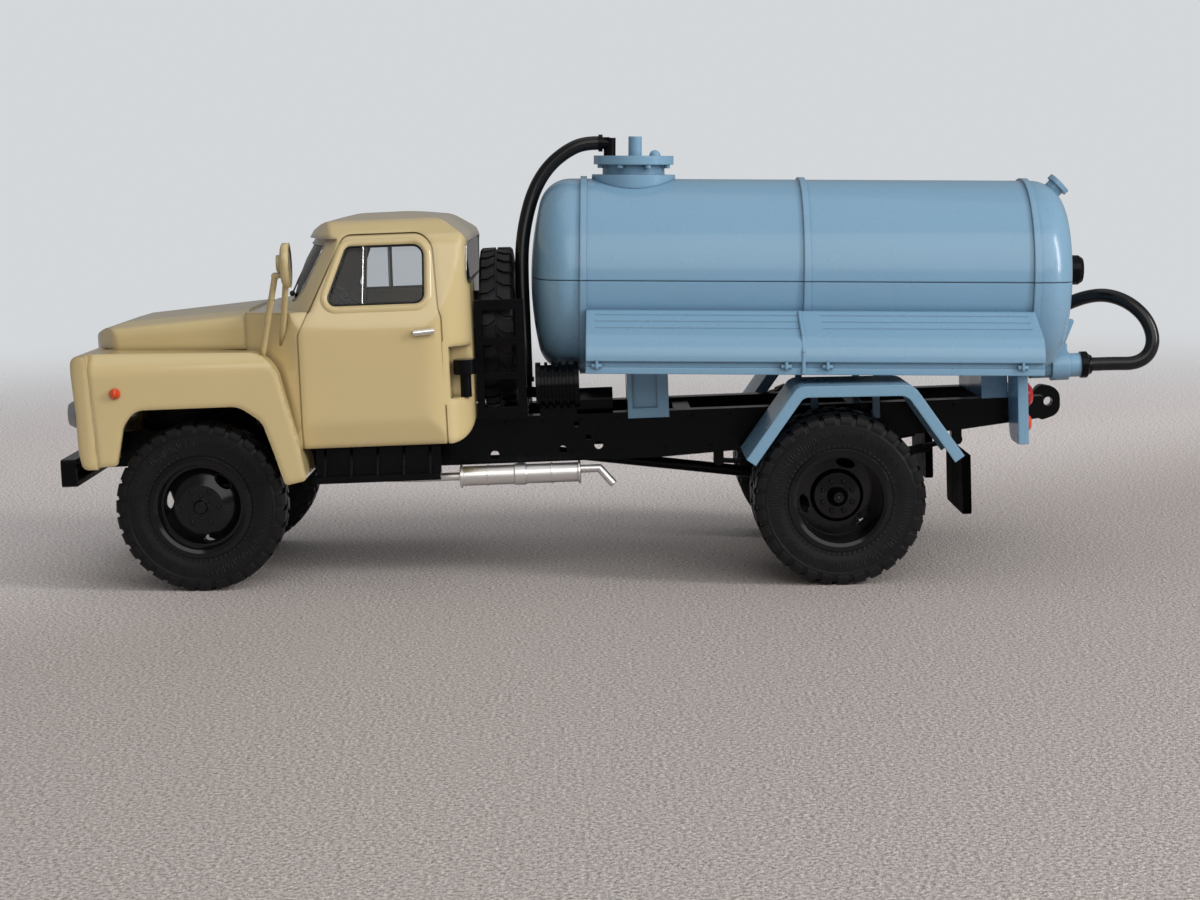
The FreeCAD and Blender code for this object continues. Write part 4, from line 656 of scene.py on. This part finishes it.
# Silencer flanges
silencer_y, silencer_z = 13.2, 1.8
bm = bmesh.new()
for x, radius in ((-51.2, 1.6), (-34.9, 1.6), (-47.4, 1.45), (-38.6, 1.45)):
    rings = []
    for r, dx in ((radius - 0.35, -0.22), (radius, -0.14), (radius, 0.14), (radius - 0.35, 0.22)):
        ring = []
        for t in angles(32):
            at = place(x + dx, silencer_y + r * math.cos(t), silencer_z + r * math.sin(t))
            ring.append(bm.verts.new(at))
        rings.append(ring)
    for one, two in zip(rings, rings[1:]):
        bridge(bm, one, two)
bmesh.ops.recalc_face_normals(bm, faces=bm.faces)
from_bmesh("silencer_flanges", bm, "silver", "truck")

# Floor, sky and lights


def floor_look():
    """Grained board with painted light that brightens it behind the truck and towards its front end, and
    that fades out far from the truck.
    """
    near_painted_light, far_painted_light = (1.30, 1.28, 1.28, 1), (2.20, 2.24, 2.32, 1)
    mat, tree, shader = principled("floor", (0.46, 0.425, 0.41), 0.5)
    where = coordinates(tree)
    grain = add(tree, "ShaderNodeTexNoise", Scale=2400.0, Detail=2.0, Roughness=0.7)
    tree.links.new(where, grain.inputs["Vector"])
    bump = add(tree, "ShaderNodeBump", Strength=0.9, Distance=0.0004)
    tree.links.new(grain.outputs["Fac"], bump.inputs["Height"])
    tree.links.new(bump.outputs["Normal"], shader.inputs["Normal"])
    tone = mottle(tree, (0.40, 0.365, 0.35), scale=2200, amount=0.45)
    # Painted light: the floor's colour is brighter behind the truck, where its shadow falls, and towards
    # its front end.
    slant = add(tree, "ShaderNodeVectorMath", operation="DOT_PRODUCT")
    slant.inputs[1].default_value = (-0.65, 1.0, 0.0)
    tree.links.new(where, slant.inputs[0])
    behind = add(tree, "ShaderNodeMapRange", interpolation_type="SMOOTHSTEP", From_Min=0.03, From_Max=-0.09)
    tree.links.new(slant.outputs["Value"], behind.inputs["Value"])
    painted_light_tint = add(tree, "ShaderNodeMix", data_type="RGBA", blend_type="MULTIPLY", Factor=1.0)
    tree.links.new(tone, painted_light_tint.inputs[6])
    painted_light_gradient = add(tree, "ShaderNodeMix", data_type="RGBA")
    tree.links.new(behind.outputs["Result"], painted_light_gradient.inputs["Factor"])
    painted_light_gradient.inputs[6].default_value = near_painted_light
    painted_light_gradient.inputs[7].default_value = far_painted_light
    tree.links.new(painted_light_gradient.outputs[2], painted_light_tint.inputs[7])
    tree.links.new(painted_light_tint.outputs[2], shader.inputs["Base Color"])
    reach = add(tree, "ShaderNodeVectorMath", operation="LENGTH")
    tree.links.new(where, reach.inputs[0])
    fade = add(tree, "ShaderNodeMapRange", interpolation_type="SMOOTHERSTEP", From_Min=0.13, From_Max=0.5)
    tree.links.new(reach.outputs["Value"], fade.inputs["Value"])
    clear = add(tree, "ShaderNodeBsdfTransparent")
    mix = add(tree, "ShaderNodeMixShader")
    tree.links.new(fade.outputs["Result"], mix.inputs["Fac"])
    tree.links.new(shader.outputs["BSDF"], mix.inputs[1])
    tree.links.new(clear.outputs["BSDF"], mix.inputs[2])
    tree.links.new(mix.outputs["Shader"], tree.nodes["Material Output"].inputs["Surface"])
    return mat


def lay_floor():
    """A round floor under the truck."""
    bm = bmesh.new()
    bmesh.ops.create_circle(bm, cap_ends=True, segments=96, radius=0.6)
    mesh = bpy.data.meshes.new("floor")
    bm.to_mesh(mesh)
    bm.free()
    floor = bpy.data.objects.new("floor", mesh)
    scene.collection.objects.link(floor)
    floor.data.materials.append(floor_look())


def set_sky():
    """A dim even sky that lights the truck, and the photo's pale grey where it shows itself."""
    world = bpy.data.worlds.new("sky")
    scene.world = world
    world.use_nodes = True
    tree = world.node_tree
    back = tree.nodes["Background"]
    back.inputs["Color"].default_value = (0.92, 0.91, 0.90, 1)
    back.inputs["Strength"].default_value = 0.27
    seen = add(tree, "ShaderNodeBackground", Color=(0.66, 0.68, 0.70, 1), Strength=1.0)
    ray = add(tree, "ShaderNodeLightPath")
    mix = add(tree, "ShaderNodeMixShader")
    tree.links.new(ray.outputs["Is Camera Ray"], mix.inputs["Fac"])
    tree.links.new(back.outputs["Background"], mix.inputs[1])
    tree.links.new(seen.outputs["Background"], mix.inputs[2])
    tree.links.new(mix.outputs["Shader"], tree.nodes["World Output"].inputs["Surface"])


def hang_lights():
    """A window at the truck's rear, the room's soft light from the photo's side, and the ceiling."""
    aim = Vector((-0.01, 0, 0.025))
    for name, at, size, power, color in (
            ("window", (-0.62, 0.28, 0.29), (0.13, 0.42), 2.8, (1.0, 0.98, 0.95)),
            ("room", (-0.26, 0.72, 0.52), (1.0, 0.7), 4.1, (1.0, 0.99, 0.97)),
            ("ceiling", (0.02, 0.02, 0.80), (0.9, 0.6), 0.9, (0.96, 0.98, 1.0))):
        light = bpy.data.lights.new(name, "AREA")
        light.shape = "RECTANGLE"
        light.size, light.size_y = size
        light.energy = power
        light.color = color
        lamp = bpy.data.objects.new(name, light)
        scene.collection.objects.link(lamp)
        lamp.location = at
        lamp.rotation_euler = (aim - Vector(at)).to_track_quat("-Z", "Y").to_euler()


lay_floor()
set_sky()
hang_lights()
scene.view_settings.view_transform = "Standard"

# Tyres: a carcass with low lugs round the shoulders, ribs and rows of small marks on its sides
tyre_width, spare_width = 5.5 * MM, 4.9 * MM
tyre_radius, bead_radius = 11.5 * MM, 6.6 * MM
twin_gap = 6.5 * MM
lug_count, bead_marks, section_count = 31, 64, 124
bead_mark_low, bead_mark_high = bead_radius + 0.45 * MM, bead_radius + 0.85 * MM

# One side of the carcass from bead to tread, as shares of the half width at their radii
side_line = [
    (0.78, bead_radius), (0.87, bead_radius + 0.15 * MM), (0.90, bead_radius + 0.35 * MM),
    (0.91, bead_radius + 0.95 * MM), (0.945, bead_radius + 1.25 * MM), (0.97, bead_radius + 2.0 * MM),
    (0.978, bead_radius + 2.6 * MM), (0.965, tyre_radius - 1.75 * MM), (0.982, tyre_radius - 1.68 * MM),
    (0.962, tyre_radius - 1.60 * MM), (0.975, tyre_radius - 1.50 * MM), (0.950, tyre_radius - 1.42 * MM),
    (0.925, tyre_radius - 1.0 * MM), (0.885, tyre_radius - 0.62 * MM), (0.80, tyre_radius - 0.40 * MM),
    (0.5, tyre_radius - 0.32 * MM)]


def width_at(reach):
    """The carcass's share of the half width at one radius."""
    for (wa, ra), (wb, rb) in zip(side_line, side_line[1:]):
        if ra <= reach <= rb:
            return wa + (wb - wa) * (reach - ra) / (rb - ra)


def tyre(name, node, spots, axis, side, width, body):
    """Tyres at several spots in one mesh, in place of the plain solids."""
    bm = bmesh.new()
    axis = Vector(axis).normalized()
    side = Vector(side).normalized()
    third = axis.cross(side)
    half = width / 2
    marks = random.Random(11)

    def point(at, across, reach, angle):
        return at + axis * across + (side * math.cos(angle) + third * math.sin(angle)) * reach

    def lug(at, way, start, wide, lean):
        """A raised bar from the middle of the tread over the shoulder."""
        rows = []
        for share, drop, shift in ((0.07, 0.0, lean), (0.48, 0.0, 0.0), (0.80, 0.03, 0.0),
                                   (0.915, 0.30, 0.0), (0.955, 0.85, 0.0), (0.965, 1.25, 0.0)):
            across = half * share * way
            reach = tyre_radius - drop * MM
            first = start + shift
            foot = (across * 0.93, reach - 0.45 * MM)
            corners = ((*foot, first), (across, reach, first + 0.05 * wide),
                       (across, reach, first + 0.95 * wide), (*foot, first + wide))
            rows.append([bm.verts.new(point(at, *corner)) for corner in corners])
        for one, two in zip(rows, rows[1:]):
            bridge(bm, one, two, closed=False)
        bm.faces.new(rows[0])
        bm.faces.new(rows[-1])

    def mark(at, way, low, high, start, wide, skew, height):
        """A small raised stroke on the side, between two radii."""
        corners = ((low, start), (low, start + wide), (high, start + wide + skew), (high, start + skew))
        foot, top = [], []
        for reach, angle in corners:
            across = half * width_at(reach)
            foot.append(bm.verts.new(point(at, (across - 0.06 * MM) * way, reach, angle)))
            top.append(bm.verts.new(point(at, (across + height) * way, reach, angle)))
        bm.faces.new(top)
        bridge(bm, foot, top)

    inner = [(-w * half, r) for w, r in side_line]
    outer = [(w * half, r) for w, r in side_line[::-1]]
    section = inner + [(0, tyre_radius - 0.30 * MM)] + outer
    step = 2 * math.pi / lug_count
    lug_width, lug_lean = step * 0.76, step * 0.3
    for at in spots:
        rings = [[bm.verts.new(point(at, a, r, t)) for a, r in section] for t in angles(section_count)]
        for one, two in zip(rings, rings[1:] + rings[:1]):
            bridge(bm, one, two, closed=False)
        for way in (1, -1):
            stagger = 0.5 if way > 0 else 0.0
            for k in range(lug_count):
                lug(at, way, (k + stagger) * step, lug_width, lug_lean)
            for t in angles(bead_marks):
                mark(at, way, bead_mark_low, bead_mark_high, t, wide=0.058, skew=0, height=0.05 * MM)
            angle = 0.0
            while angle < 2 * math.pi - 0.03:
                low = bead_radius + (1.55 + 0.5 * marks.random()) * MM
                high = low + (0.35 + 0.8 * marks.random()) * MM
                wide = 0.011 + 0.006 * marks.random()
                skew = 0.03 * (marks.random() - 0.5)
                mark(at, way, low, high, angle, wide, skew, height=0.045 * MM)
                angle += 0.028 + 0.03 * marks.random()
    bmesh.ops.recalc_face_normals(bm, faces=bm.faces)
    piece = from_bmesh(name, bm, "tyre", body, angle=30)
    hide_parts(node)


for side, word in ((1, "left"), (-1, "right")):
    out = (0, side, 0)
    middle = sum(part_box("front_%s_tyre" % word), Vector()) / 2
    tyre("front_%s_treaded_tyre" % word, "front_%s_tyre" % word, [middle], out, (1, 0, 0), tyre_width,
         "front_%s_wheel" % word)
    middle = sum(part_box("rear_%s_tyres" % word), Vector()) / 2
    spots = [middle + Vector((0, twin_gap / 2 * way, 0)) for way in (-1, 1)]
    tyre("rear_%s_treaded_tyres" % word, "rear_%s_tyres" % word, spots, out, (1, 0, 0), tyre_width,
         "rear_%s_wheels" % word)
spare_axis = (math.cos(rake), 0, -math.sin(rake))
spare_at = place(-40.55, 0, 21.2)
tyre("spare_treaded_tyre", "spare_tyre", [spare_at], spare_axis, (0, 1, 0), spare_width, "truck")
